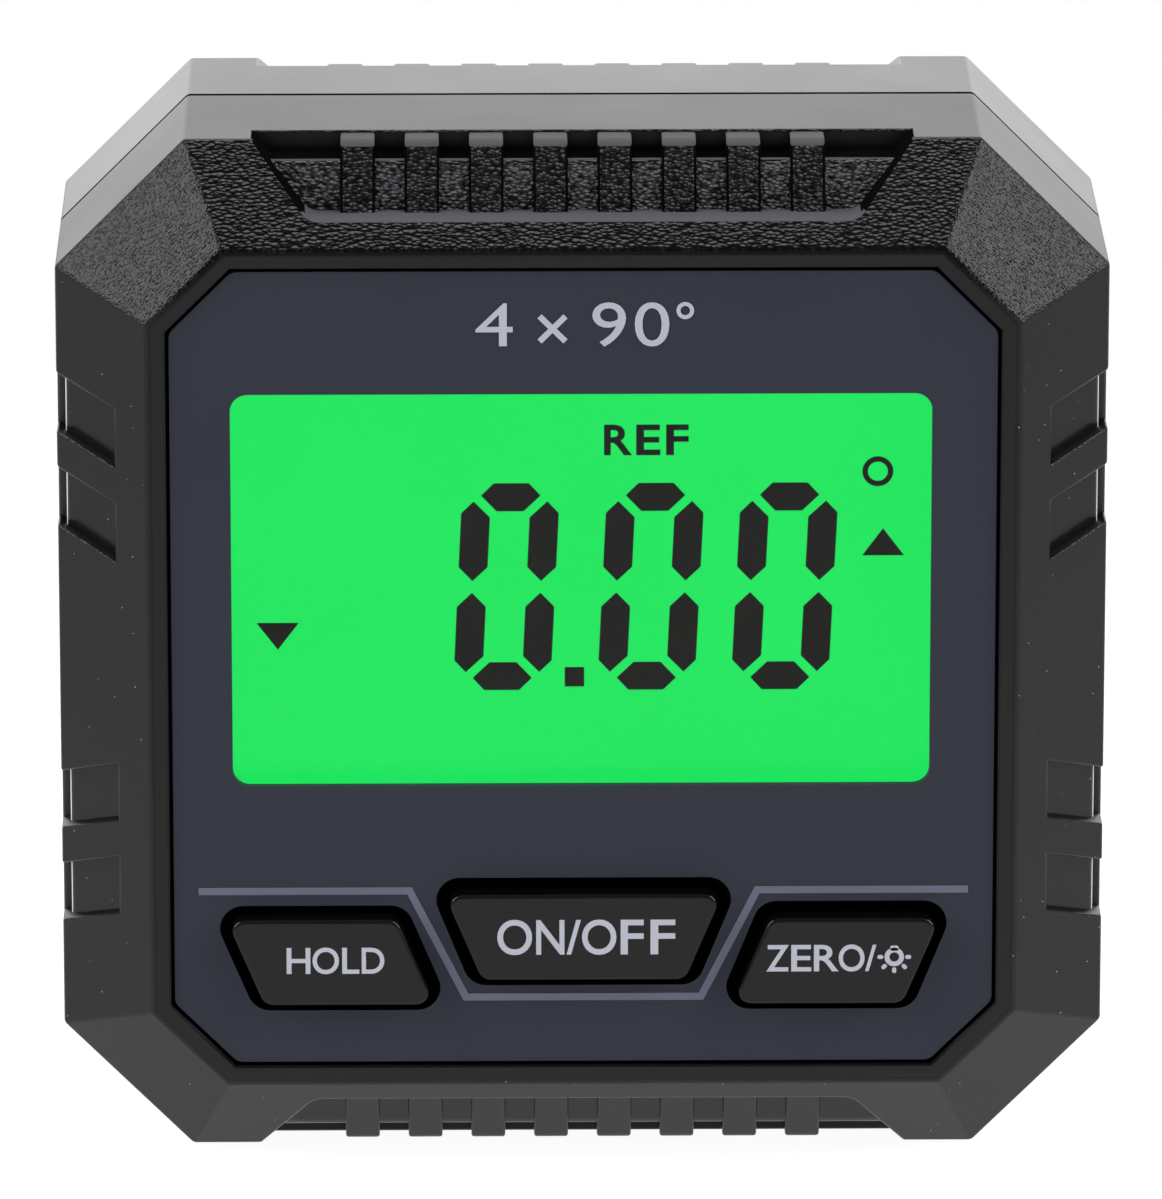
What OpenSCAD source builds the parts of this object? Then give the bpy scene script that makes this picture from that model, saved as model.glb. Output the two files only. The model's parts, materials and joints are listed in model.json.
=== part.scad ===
// Digital angle gauge: a square bevelled box with a lit display, three keys and magnets behind its faces.
// The display looks along -Y, +X is to the right and +Z is up; all sizes are in millimetres.
// Inside the modules, depth is counted back from the front rim and height from the middle of the housing.

/* [Housing] */
// Width and height of the square housing
body_size = 60; // [60:0.5:80]
// Leg of the 45 degree cut at each corner
corner_chamfer = 7.4; // [6.5:0.1:8.5]
// Depth of the housing from the front rim to the back face
shell_depth = 29.2; // [28.5:0.1:36]
// Width of the front bevel, seen from the front
bevel_run = 5.35; // [4.8:0.05:5.8]
// Depth of the front bevel
bevel_drop = 5; // [4.4:0.05:5.6]
// Width of the rear bevel, seen from the back
rear_bevel_run = 3.6; // [3.2:0.05:3.8]
// Depth of the rear bevel
rear_bevel_drop = 4.3; // [3.8:0.05:5]
// Depth of the seam between the two shells
parting_depth = 15.7; // [14.5:0.1:17]
// Thickness of the four measuring walls
wall = 2.4; // [2.2:0.05:2.6]
// Thickness of the shell under the bevels
bevel_skin = 2.8; // [2.6:0.05:3]
// Thickness of the back wall
back_wall = 2.2; // [2:0.1:2.6]
// Height of the tongue that lines up the two shells
tongue_h = 1.2; // [0.8:0.1:1.6]

/* [Grips] */
// Width of each grip pocket at the measuring face
grip_w = 37.3; // [34:0.1:40]
// Lean of the grip ends, sideways per height
grip_lean = 0.82; // [0.6:0.01:1]
// Share of the bevel that a grip pocket takes
grip_share = 0.72; // [0.6:0.01:0.8]
// Reach of the grip pocket and the notches behind the bevel
grip_behind = 2; // [1.4:0.1:2.6]
// Depth of the grip pocket below the measuring face
grip_face_depth = 1.14; // [0.9:0.01:1.3]
// Depth of the grip pocket below the foot of the bevel
grip_bevel_depth = 2.3; // [1.8:0.01:2.4]
// Lean of the pocket floor as a share of the lean of the bevel
grip_floor_lean = 0.42; // [0.35:0.01:0.6]
// Corner radius of the grip pocket
grip_r = 1.2; // [0.7:0.1:1.5]
// Number of ribs in a grip pocket
rib_count = 8; // [4:2:8]
// Width of a rib as a share of the rib spacing
rib_share = 0.54; // [0.4:0.01:0.6]
// Rise of a rib above the pocket floor at the foot of the bevel
rib_rise = 0.68; // [0.5:0.01:0.9]
// Lean of a rib as a share of the lean of the bevel
rib_lean = 0.63; // [0.5:0.01:0.75]
// Drop of a rib below the measuring face
rib_face_drop = 0.14; // [0.1:0.01:0.4]
// Radius of the bend in the pocket floor and the ribs
bend_r = 0.7; // [0.5:0.1:1]
// Distance from the middle to the first side notch
notch_start = 6.05; // [5:0.05:7]
// Width of one side notch
notch_w = 3.37; // [3:0.01:3.8]
// Spacing of the two notches of a pair
notch_pitch = 5.57; // [5:0.01:6]
// Lean of the notch sides
notch_lean = 0.4; // [0.2:0.01:0.5]
// Share of the bevel that a notch takes
notch_share = 0.63; // [0.5:0.01:0.75]
// Depth of a notch below the measuring face
notch_face_depth = 0.5; // [0.3:0.05:0.8]
// Depth of a notch below the bevel
notch_bevel_depth = 0.75; // [0.5:0.05:1]

/* [Panel and window] */
// Width of the rim around the panel
rim_w = 1; // [0.8:0.05:1.4]
// Gap between the panel and the rim
panel_gap = 0.2; // [0.1:0.05:0.3]
// Depth of the panel face below the rim
panel_recess = 0.2; // [0.1:0.05:0.4]
// Thickness of the panel
panel_t = 0.5; // [0.4:0.05:0.8]
// Corner radius of the panel
panel_r = 0.8; // [0.5:0.1:1.2]
// Width of the display window
window_w = 39.8; // [36:0.1:40.2]
// Height of the display window
window_h = 23.05; // [20:0.05:23.4]
// Height of the window's middle above the middle of the housing
window_z = 4.75; // [4.5:0.05:5]
// Corner radius of the window
window_r = 1; // [0.6:0.1:1.5]
// Thickness of the clear lens
lens_t = 0.8; // [0.6:0.05:0.9]
// Overlap of the lens behind the panel
lens_margin = 1.3; // [1:0.1:1.5]
// Thickness of the front wall behind the panel
front_wall = 1.6; // [1.5:0.05:1.8]

/* [Keys] */
// Height of the key openings
key_h = 6.3; // [5.8:0.1:6.4]
// Lean of the slanted key sides, sideways per height
key_lean = 0.42; // [0.38:0.01:0.44]
// Width of the two outer key openings
side_key_w = 11.05; // [10.4:0.05:11.2]
// Sideways position of the outer key openings
side_key_x = 14.5; // [14.4:0.05:14.7]
// Height position of the outer key openings
side_key_z = -17.2; // [-17.3:0.05:-17]
// Width of the middle key opening
mid_key_w = 15.1; // [14.5:0.05:15.2]
// Height position of the middle key opening
mid_key_z = -15.72; // [-16:0.02:-15.6]
// Corner radius of the key openings
key_r = 1.35; // [1.1:0.05:1.6]
// Gap between a key and its opening
key_gap = 0.25; // [0.2:0.01:0.35]
// Height of the keys above the rim
key_proud = 0.8; // [0.6:0.05:1.2]
// Size of the rounded edge of a key
key_edge = 0.45; // [0.3:0.05:0.55]
// Travel of a key
key_travel = 0.35; // [0.2:0.05:0.4]
// Width of the flange that keeps a key in
flange_w = 0.6; // [0.5:0.05:0.7]

/* [Display] */
// Thickness of each display glass
glass_t = 1.1; // [0.7:0.1:1.1]
// Overlap of the glass around the window
glass_margin = 1.4; // [1.2:0.1:1.4]
// Width of the contact ledge of the front glass
ledge_w = 2.9; // [2.5:0.1:3]
// Thickness of each polariser
polariser_t = 0.2; // [0.15:0.05:0.3]
// Thickness of the diffuser
diffuser_t = 0.3; // [0.2:0.05:0.4]
// Thickness of the light guide
guide_t = 2; // [1.8:0.1:2.4]
// Thickness of the reflector
reflector_t = 0.2; // [0.15:0.05:0.3]
// Wall of the display holder
holder_wall = 0.7; // [0.6:0.05:0.8]

/* [Circuit board] */
// Thickness of the circuit board
board_t = 1.6; // [1:0.1:1.8]
// Leg of the corner cuts of the board
board_cut = 13.5; // [13.2:0.1:14.5]
// Width of a switch
switch_w = 6; // [5.8:0.1:6.2]
// Height of a switch up to the tip of its plunger
switch_h = 4.3; // [4.2:0.05:4.5]
// Height of a switch plunger above the switch
plunger_h = 0.8; // [0.7:0.05:0.9]
// Diameter of a switch plunger
plunger_d = 3.5; // [3:0.1:3.6]

/* [Battery] */
// Diameter of a cell
cell_d = 10.3; // [10:0.1:10.5]
// Length of a cell with its contact nub
cell_l = 44.5; // [43.5:0.1:44.6]
// Spacing of the two cells
cell_pitch = 11; // [10.9:0.05:11.2]
// Thickness of the battery cover
cover_t = 1.8; // [1.6:0.05:2]
// Gap around the battery cover
cover_gap = 0.2; // [0.15:0.05:0.3]
// Thickness of the tray around the cells
tray_t = 1.3; // [1.1:0.05:1.5]

/* [Fasteners and magnets] */
// Distance of the case screws from the middle, along both axes
screw_at = 21.85; // [21.7:0.05:22.1]
// Diameter of a case screw
screw_d = 2.6; // [2.2:0.1:2.8]
// Diameter of a board screw
board_screw_d = 2; // [1.7:0.1:2.2]
// Length of a magnet
magnet_l = 10; // [8:0.5:12]
// Width of a magnet
magnet_w = 6; // [5:0.1:6.4]
// Thickness of a magnet
magnet_t = 2; // [1.6:0.1:2.2]

/* [Hidden] */
$fn = 64;

// Colours
black_plastic = [0.13, 0.13, 0.13];
slate = [0.22, 0.23, 0.28];
key_plastic = [0.17, 0.17, 0.16];
clear = [0.8, 0.9, 0.95, 0.35];
green_light = [0.2, 0.9, 0.4];
white_film = [0.92, 0.93, 0.92];
board_green = [0.08, 0.32, 0.18];
chip_black = [0.09, 0.09, 0.1];
steel = [0.72, 0.73, 0.75];
rubber_grey = [0.45, 0.45, 0.48];
cell_green = [0.16, 0.36, 0.24];
lead_red = [0.7, 0.1, 0.1];
lead_black = [0.1, 0.1, 0.1];

// Small shared clearances
fit_gap = 0.1;
screw_gap = 0.05;
overcut = 1;

// Sizes on the faces follow the housing: they are stated for the one whose size times this share is 1
face_share = 1 / 60;
k = body_size * face_share;

// Frame: the keys are the front of the box, the housing stands on its lower face
half = body_size / 2;
rim_y = (key_proud - shell_depth) / 2;

// Depths of the front stack
panel_back = panel_recess + panel_t;
cavity_front = panel_back + front_wall;
glass_front = cavity_front + polariser_t;
glass_mid = glass_front + glass_t;
glass_back = glass_mid + glass_t;
diffuser_front = glass_back + polariser_t;
guide_front = diffuser_front + diffuser_t;
reflector_front = guide_front + guide_t;
board_front = reflector_front + reflector_t;
board_back = board_front + board_t;

// Insets from the outline of the housing
tongue_inset = wall / 2;
panel_opening = bevel_run + rim_w;
panel_inset = panel_opening + panel_gap;
board_inset = wall + 1.6;

// Window, lens and glass outlines
view_w = window_w * k;
window_low = (window_z - window_h / 2) * k;
window_high = (window_z + window_h / 2) * k;
sight_margin = 0.6;
sight_low = 0.2;
polariser_margin = glass_margin - 0.4;
ledge_low = window_low - glass_margin - ledge_w;
holder_gap = fit_gap;
strip_w = 1.8;
strip_l = view_w - 2;
lamp_space = 1.7;
lamp_size = [3, 1.4];
lamp_x = 9 * k;
holder_cut = holder_wall + 0.3;

// Key depths
flange_front = cavity_front + fit_gap;
plunger_tip = board_front - switch_h;
switch_top = plunger_tip + plunger_h;
flange_back = plunger_tip;
plunger_depth = 1.8;
switch_x = side_key_x * k - 0.5;
switch_z = side_key_z * k + 0.2;
mid_switch_z = mid_key_z * k;

// Screw bosses and posts
boss_wall = 1.5;
boss_r = screw_d / 2 + boss_wall;
head_r = 0.88 * screw_d;
head_gap = 0.2;
sleeve_wall = 0.9;
sleeve_r = head_r + head_gap + sleeve_wall;
head_h = 1.8;
well_r = head_r + head_gap;
screw_floor = 2.5;
screw_reach = 8.2;
pilot_reach = 9;
drive_w = 0.6;
drive_l = 2.6;
drive_depth = 1;
screw_place = screw_at * k;
post_r = 1.125 * board_screw_d;
post_x = 13 * k;
post_high = window_high + glass_margin + holder_gap + holder_wall + post_r + 0.3;
post_low = (mid_key_z - key_h / 2) * k - flange_w - 2 * key_gap - post_r - fit_gap;
post_spots = [[-post_x, post_high], [post_x, post_high], [0, post_low]];
board_head_r = 0.9 * board_screw_d;
board_head_h = 1.3;
board_screw_l = board_t + 3.5;
board_pilot = 4.2;
pilot_r = board_screw_d / 2 + screw_gap;
board_hole_r = board_screw_d / 2 + 2 * screw_gap;

// Components on the back of the board
chip_side = 10;
chip_t = 1.5;
chip_z = 7 * k;
leg_count = 11;
leg_pitch = 0.8;
leg_size = [0.35, 1.2, 0.3];
leg_place = (chip_side + leg_size[1]) / 2 - fit_gap;
sensor_size = [4, 4, 1.1];
sensor_z = -8 * k;
crystal_d = 2;
crystal_l = 6;
crystal_x = -14 * k;
crystal_z = 12 * k;
capacitor_size = [2, 1.2, 0.9];
capacitor_spots = [[-10, 2], [-10, -2], [10, 2], [10, -2], [-6, -9], [6, -9]] * k;

// Battery tray and cells
cell_r = cell_d / 2;
cell_len = cell_l * k;
cell_slack = 0.5;
cover_front = shell_depth - cover_t;
tray_back = cover_front - cell_slack - cell_d - fit_gap;
tray_front = tray_back - tray_t;
cell_depth = tray_back + fit_gap + cell_r;
tray_half_h = cell_pitch / 2 + cell_r + 0.55;
contact_space = 3.35;
tray_half_l = cell_len / 2 + contact_space;
mouth_half_l = tray_half_l - 1.3;
lip_t = 1.2;
cover_half_l = mouth_half_l + 0.8;
cover_half_h = tray_half_h + 1;
tray_wall_half_l = half - wall + 0.4;
nub_r = 1.9;
nub_l = 0.8;
cell_shift = 1.25;
plate_t = 0.4;
plate_w = 8.6;
plate_h = 8.6;
tail_w = 2.4;
tail_l = 0.6;
slot_gap = 0.2;
wire_r = 0.25;
spring_turns = 4;
spring_steps = 14;
spring_sides = 8;
spring_base_r = 3.4;
spring_tip_r = 2.2;
spring_l = tray_half_l - plate_t - cell_len / 2 + cell_shift;
button_h = tray_half_l - plate_t - cell_len / 2 - cell_shift;
button_r = 3;
button_tip_r = 2;

// Battery cover tabs and latch
tab_x = 15 * k;
tab_w = 6;
tab_t = 1;
tab_over = 1.4;
tab_root = 1.5;
tab_depth = shell_depth - back_wall - fit_gap;
tab_swing = 1;
latch_w = 9;
latch_l = 2.4;
latch_t = 1.2;
latch_front = cover_front + 0.2;
latch_gap = 0.3;
thumb_r = 7;
thumb_depth = 0.9;

// Leads
lead_r = 0.6;
lead_x = -tray_half_l + plate_t / 2;
lead_top = tray_front - tail_l;
lead_straight = (lead_top - board_back) / 4;
lead_bend = lead_straight;
lead_run = 5;

// Magnets
magnet_seat = 1;
magnet_x = 14 * k;
seam_gap = 1.2;
tray_gap = 0.7;
magnet_depth = min(tray_front - tray_gap, parting_depth - seam_gap) - magnet_w / 2;

// Outline of the housing, moved in by the same distance on all eight sides
function octagon(inset) =
    let (h = half - inset, c = h - corner_chamfer + (2 - sqrt(2)) * inset)
    [[h, c], [c, h], [-c, h], [-h, c], [-h, -c], [-c, -h], [c, -h], [h, -c]];

// Corners of a rectangle centred on x = 0
function rect(w, low, high) = [[-w / 2, high], [-w / 2, low], [w / 2, low], [w / 2, high]];

// Corner helpers for convex outlines
function unit(v) = v / norm(v);
function at(p, i) = p[(i + len(p)) % len(p)];
function to_last(p, i) = unit(at(p, i - 1) - p[i]);
function to_next(p, i) = unit(at(p, i + 1) - p[i]);
function half_angle(p, i) = acos(to_last(p, i) * to_next(p, i)) / 2;
function inner(p, i, r) = p[i] + unit(to_last(p, i) + to_next(p, i)) * r / sin(half_angle(p, i));
function inset(p, r) = [for (i = [0 : len(p) - 1]) inner(p, i, r)];
function cut_corners(p, r) = [
    for (i = [0 : len(p) - 1])
        for (v = [to_last(p, i), to_next(p, i)])
            p[i] + v * r / tan(half_angle(p, i))
];

// Key openings: left and right lean say how far each side moves out per height
function key_outline(x, z, w, left, right) =
    let (h = key_h / 2)
    [
        [x - w / 2 + left * h, z + h],
        [x - w / 2 - left * h, z - h],
        [x + w / 2 - right * h, z - h],
        [x + w / 2 + right * h, z + h]
    ];
hold_outline = key_outline(-side_key_x, side_key_z, side_key_w, -key_lean, -key_lean) * k;
power_outline = key_outline(0, mid_key_z, mid_key_w, -key_lean, key_lean) * k;
zero_outline = key_outline(side_key_x, side_key_z, side_key_w, key_lean, key_lean) * k;
key_outlines = [hold_outline, power_outline, zero_outline];

// Length of a slope and the slope of the hollow inside it
function slope(run, drop) = norm([run, drop]);
function hollow_run(run, drop, skin) = run + (bevel_skin * slope(run, drop) - skin * run) / drop - wall;
function hollow_drop(run, drop, skin) = drop + (bevel_skin * slope(run, drop) - wall * drop) / run - skin;

// Places a piece in the shared frame
module seat() {
    translate([0, rim_y, half])
        children();
}

// A flat outline in width and height, made solid between two depths
module slab(front, back) {
    translate([0, back, 0])
        rotate([90, 0, 0])
            linear_extrude(back - front)
                children();
}

// A convex outline with true round corners
module rounded(p, r) {
    polygon(cut_corners(p, r));
    for (i = [0 : len(p) - 1])
        translate(inner(p, i, r))
            circle(r);
}

// A pin along the depth
module pin(x, z, r, front, back) {
    translate([x, back, z])
        rotate([90, 0, 0])
            cylinder(r = r, h = back - front);
}

// An eight sided body with a bevel at each end
module bevelled(front, back, inset, front_run, front_drop, back_run, back_drop) {
    sides = 8;
    rings = [
        [inset + front_run, front],
        [inset, front + front_drop],
        [inset, back - back_drop],
        [inset + back_run, back]
    ];
    corners = [for (ring = rings) for (p = octagon(ring[0])) [p[0], ring[1], p[1]]];
    walls = [
        for (k = [0 : len(rings) - 2])
            for (i = [0 : sides - 1])
                let (j = (i + 1) % sides, a = k * sides, b = a + sides)
                [a + i, a + j, b + j, b + i]
    ];
    front_face = [for (i = [sides - 1 : -1 : 0]) i];
    back_face = [for (i = [0 : sides - 1]) (len(rings) - 1) * sides + i];
    polyhedron(corners, concat(walls, [front_face, back_face]));
}

module outer_body() {
    bevelled(0, shell_depth, 0, bevel_run, bevel_drop, rear_bevel_run, rear_bevel_drop);
}

module hollow() {
    bevelled(
        cavity_front, shell_depth - back_wall, wall,
        hollow_run(bevel_run, bevel_drop, cavity_front),
        hollow_drop(bevel_run, bevel_drop, cavity_front),
        hollow_run(rear_bevel_run, rear_bevel_drop, back_wall),
        hollow_drop(rear_bevel_run, rear_bevel_drop, back_wall)
    );
}

// Solid left under a recess in a bevel: it leans with a share of the bevel's lean, then runs parallel
// to the face, with a round bend
module under_recess(run, drop, face_depth, bevel_depth, share) {
    lean = share * drop / run;
    turn = atan2(1, lean);
    low = half - run;
    lead_in = bevel_depth * slope(run, drop) / run;
    corner_z = half - face_depth;
    corner_y = lead_in + (corner_z - low) * lean;
    reach = bend_r * tan(turn / 2);
    foot = low - overcut;
    rotate([90, 0, 90])
        linear_extrude(2 * body_size, center = true) {
            polygon([
                [lead_in - overcut * lean, foot],
                [corner_y - reach * cos(turn), corner_z - reach * sin(turn)],
                [corner_y + reach, corner_z],
                [half, corner_z],
                [half, foot]
            ]);
            translate([corner_y + reach, corner_z - bend_r])
                circle(bend_r);
        }
}

// Grip pocket with ribs, cut into the upper bevel
module grip_cut(run, drop) {
    low = half - grip_share * run;
    top = half + 2 * overcut;
    wide = grip_w * k / 2 + grip_lean * (top - half);
    narrow = grip_w * k / 2 - grip_lean * (half - low);
    rib_pitch = 2 * narrow / (rib_count + 0.5);
    rib_w = rib_share * rib_pitch;
    difference() {
        slab(-overcut, drop + grip_behind)
            rounded([[-wide, top], [-narrow, low], [narrow, low], [wide, top]], grip_r);
        under_recess(run, drop, grip_face_depth, grip_bevel_depth, grip_floor_lean);
        intersection() {
            under_recess(run, drop, rib_face_drop, grip_bevel_depth - rib_rise, rib_lean);
            slab(-overcut, drop + grip_behind + overcut)
                for (i = [0 : rib_count - 1])
                    translate([(i - (rib_count - 1) / 2) * rib_pitch - rib_w / 2, low - overcut])
                        square([rib_w, half]);
        }
    }
}

// Two pairs of slanted notches, cut into the upper bevel
module notch_cut(run, drop) {
    low = half - notch_share * run;
    top = half + 2 * overcut;
    lean = notch_lean * (top - low);
    width = notch_w * k;
    difference() {
        for (side = [-1, 1])
            for (i = [0, 1])
                let (near = (notch_start + i * notch_pitch) * k)
                    slab(-overcut, drop + grip_behind)
                        polygon([
                            [side * near, low],
                            [side * (near + width), low],
                            [side * (near + width + lean), top],
                            [side * (near + lean), top]
                        ]);
        under_recess(run, drop, notch_face_depth, notch_bevel_depth, 1);
    }
}

module grips(run, drop) {
    for (turn = [0, 180]) {
        rotate([0, turn, 0])
            grip_cut(run, drop);
        rotate([0, turn + 90, 0])
            notch_cut(run, drop);
    }
}

module at_screws() {
    for (x = [-1, 1])
        for (z = [-1, 1])
            translate([x * screw_place, 0, z * screw_place])
                children();
}

// A magnet lying against the inside of the lower wall
module magnet(x, gap) {
    low = wall - magnet_seat - half;
    translate([x - magnet_l / 2 - gap, magnet_depth - magnet_w / 2 - gap, low])
        cube([magnet_l + 2 * gap, magnet_w + 2 * gap, magnet_t]);
}

module all_magnets(gap) {
    magnet(-magnet_x, gap);
    magnet(magnet_x, gap);
    rotate([0, 90, 0])
        magnet(0, gap);
    rotate([0, -90, 0])
        magnet(0, gap);
}

module front_shell() {
    color(black_plastic) seat() difference() {
        union() {
            difference() {
                intersection() {
                    outer_body();
                    slab(-overcut, parting_depth)
                        square(2 * body_size, center = true);
                }
                hollow();
            }
            slab(parting_depth - overcut, parting_depth + tongue_h)
                difference() {
                    polygon(octagon(tongue_inset));
                    polygon(octagon(wall));
                }
            at_screws()
                pin(0, 0, boss_r, cavity_front - overcut / 2, parting_depth);
            for (p = post_spots)
                pin(p[0], p[1], post_r, cavity_front - overcut / 2, board_front);
        }
        grips(bevel_run, bevel_drop);
        slab(-overcut, panel_back)
            polygon(octagon(panel_opening));
        slab(-overcut, panel_back + lens_t)
            rounded(lens_outline(fit_gap), window_r);
        slab(-overcut, cavity_front + overcut)
            rounded(sight_outline(), window_r);
        for (k = key_outlines) {
            slab(-overcut, cavity_front + overcut)
                rounded(inset(k, -fit_gap), key_r + fit_gap);
            slab(cavity_front, flange_back + key_travel + 2 * key_gap)
                rounded(inset(k, -flange_w - 2 * key_gap), key_r);
        }
        at_screws()
            pin(0, 0, screw_d / 2 + screw_gap, parting_depth - pilot_reach, parting_depth + overcut);
        for (p = post_spots)
            pin(p[0], p[1], pilot_r, board_front - board_pilot, board_front + overcut);
        all_magnets(fit_gap);
    }
}

module rear_shell() {
    color(black_plastic) seat() difference() {
        union() {
            difference() {
                intersection() {
                    outer_body();
                    slab(parting_depth, shell_depth + overcut)
                        square(2 * body_size, center = true);
                }
                hollow();
            }
            at_screws()
                pin(0, 0, sleeve_r, parting_depth, shell_depth - back_wall + fit_gap);
            tray_block();
        }
        slab(parting_depth - overcut, parting_depth + tongue_h + fit_gap)
            difference() {
                polygon(octagon(tongue_inset - fit_gap));
                polygon(octagon(wall + fit_gap));
            }
        translate([0, shell_depth, 0])
            mirror([0, 1, 0])
                grips(rear_bevel_run, rear_bevel_drop);
        at_screws() {
            pin(0, 0, screw_d / 2 + 3 * screw_gap, parting_depth - overcut, shell_depth);
            pin(0, 0, well_r, parting_depth + screw_floor, shell_depth + overcut);
        }
        tray_hollow();
        cover_seat();
        for (z = [-1, 1])
            translate([0, 0, z * cell_pitch / 2])
                tail_slot();
    }
}

// Walls around the cells, kept clear of the tongue of the front shell
module tray_block() {
    clear_half_l = half - wall - 3 * fit_gap;
    wall_h = tray_half_h + tray_t;
    slab(tray_front, shell_depth - back_wall + fit_gap)
        polygon(rect(2 * clear_half_l, -wall_h, wall_h));
    slab(max(tray_front, parting_depth + tongue_h + 3 * fit_gap), shell_depth - back_wall + fit_gap)
        polygon(rect(2 * tray_wall_half_l, -wall_h, wall_h));
}

module tray_hollow() {
    slab(tray_back, cover_front - lip_t)
        polygon(rect(2 * tray_half_l, -tray_half_h, tray_half_h));
    slab(tray_back, cover_front + overcut)
        polygon(rect(2 * mouth_half_l, -tray_half_h, tray_half_h));
}

// Seat of the cover, slots for its tabs and room for its latch
module cover_seat() {
    slab(cover_front, shell_depth + overcut)
        polygon(rect(
            2 * (cover_half_l + cover_gap), -cover_half_h - cover_gap, cover_half_h + cover_gap
        ));
    for (x = [-tab_x, tab_x])
        translate([x, 0, 0])
            slab(tab_depth - tab_t - tab_swing, cover_front + fit_gap)
                polygon(rect(
                    tab_w + 2 * latch_gap, tray_half_h - overcut, tray_half_h + tray_t + overcut
                ));
    slab(latch_front - latch_gap, shell_depth + overcut)
        polygon(rect(
            latch_w + 2 * latch_gap, -cover_half_h - latch_l - latch_gap, -cover_half_h
        ));
    slab(shell_depth - thumb_depth, shell_depth + overcut)
        translate([0, -cover_half_h - latch_l / 2])
            circle(thumb_r);
}

module tail_slot() {
    translate([-tray_half_l - slot_gap, tray_front - overcut, -tail_w / 2 - slot_gap])
        cube([plate_t + 2 * slot_gap, tray_t + 2 * overcut, tail_w + 2 * slot_gap]);
}

// Clear part of the window behind the panel, a little lower to keep the lower edge in view
function sight_outline() = rect(
    view_w + 2 * sight_margin, window_low - sight_margin - sight_low, window_high + sight_margin
);
function lens_outline(gap) = rect(
    view_w + 2 * (lens_margin + gap),
    window_low - lens_margin - gap,
    window_high + lens_margin + gap
);

module face_panel() {
    color(slate) seat() difference() {
        slab(panel_recess, panel_back)
            rounded(octagon(panel_inset), panel_r);
        slab(panel_recess - overcut, panel_back + overcut) {
            rounded(rect(view_w, window_low, window_high), window_r);
            for (k = key_outlines)
                rounded(k, key_r);
        }
    }
}

module display_lens() {
    color(clear) seat()
        slab(panel_back, panel_back + lens_t)
            rounded(lens_outline(0), window_r);
}

module film(front, thick, low) {
    slab(front, front + thick)
        polygon(rect(
            view_w + 2 * polariser_margin, low, window_high + polariser_margin
        ));
}

module front_polariser() {
    color(green_light) seat()
        film(cavity_front, polariser_t, window_low - polariser_margin);
}

module front_glass() {
    color(clear) seat()
        slab(glass_front, glass_mid)
            polygon(rect(view_w + 2 * glass_margin, ledge_low, window_high + glass_margin));
}

module rear_glass() {
    color(clear) seat()
        slab(glass_mid, glass_back)
            polygon(rect(
                view_w + 2 * glass_margin, window_low - glass_margin, window_high + glass_margin
            ));
}

module rear_polariser() {
    color(green_light) seat()
        film(glass_back, polariser_t, window_low - polariser_margin);
}

module diffuser() {
    color(white_film) seat()
        film(diffuser_front, diffuser_t, window_low - polariser_margin);
}

module light_guide() {
    color(green_light) seat()
        film(guide_front, guide_t, window_low - glass_margin + lamp_space);
}

module reflector() {
    color(white_film) seat()
        film(reflector_front, reflector_t, window_low - glass_margin + lamp_space);
}

// Two lamps on the board, under the lower edge of the light guide
module backlight_lamps() {
    low = window_low - glass_margin + fit_gap;
    color(green_light) seat()
        for (x = [-lamp_x, lamp_x])
            translate([x - lamp_size[0] / 2, board_front - lamp_size[1], low])
                cube([lamp_size[0], lamp_size[1], lamp_space - 2 * fit_gap]);
}

// Frame that holds the rear glass, the backlight and the contact strip on the board
module display_holder() {
    outer_w = view_w + 2 * (glass_margin + holder_gap + holder_wall);
    high = window_high + glass_margin + holder_gap + holder_wall;
    color(white_film) seat() difference() {
        slab(glass_mid, board_front)
            polygon([
                [-outer_w / 2, high - holder_cut],
                [-outer_w / 2, ledge_low - holder_wall + holder_gap],
                [outer_w / 2, ledge_low - holder_wall + holder_gap],
                [outer_w / 2, high - holder_cut],
                [outer_w / 2 - holder_cut, high],
                [holder_cut - outer_w / 2, high]
            ]);
        slab(glass_mid - overcut, board_front + overcut)
            polygon(rect(
                view_w + 2 * (glass_margin + holder_gap),
                window_low - glass_margin - holder_gap,
                window_high + glass_margin + holder_gap
            ));
        slab(glass_mid - overcut, board_front + overcut)
            polygon(rect(
                strip_l + 2 * holder_gap,
                ledge_low + 2 * holder_gap,
                ledge_low + strip_w + 4 * holder_gap
            ));
    }
}

module contact_strip() {
    low = ledge_low + 3 * holder_gap;
    color(rubber_grey) seat()
        slab(glass_mid, board_front)
            polygon(rect(strip_l, low, low + strip_w));
}

function board_outline() =
    let (h = half - board_inset, c = h - board_cut * k)
    [[h, c], [c, h], [-c, h], [-h, c], [-h, -c], [-c, -h], [c, -h], [h, -c]];

module circuit_board() {
    color(board_green) seat() difference() {
        slab(board_front, board_back)
            polygon(board_outline());
        for (p = post_spots)
            pin(p[0], p[1], board_hole_r, board_front - overcut, board_back + overcut);
    }
}

// A component on the back of the board
module component(x, z, size) {
    translate([x - size[0] / 2, board_back, z - size[1] / 2])
        cube([size[0], size[2], size[1]]);
}

module controller_chip() {
    color(chip_black) seat()
        translate([0, 0, chip_z]) {
            component(0, 0, [chip_side, chip_side, chip_t]);
            for (turn = [0 : 90 : 270])
                rotate([0, turn, 0])
                    for (i = [0 : leg_count - 1])
                        component((i - (leg_count - 1) / 2) * leg_pitch, leg_place, leg_size);
        }
}

module tilt_sensor() {
    color(steel) seat()
        component(0, sensor_z, sensor_size);
}

module crystal() {
    color(steel) seat()
        translate([crystal_x, board_back + crystal_d / 2, crystal_z])
            rotate([0, 90, 0])
                cylinder(d = crystal_d, h = crystal_l);
}

module chip_capacitors() {
    color(chip_black) seat()
        for (p = capacitor_spots)
            component(p[0], p[1], capacitor_size);
}

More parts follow.
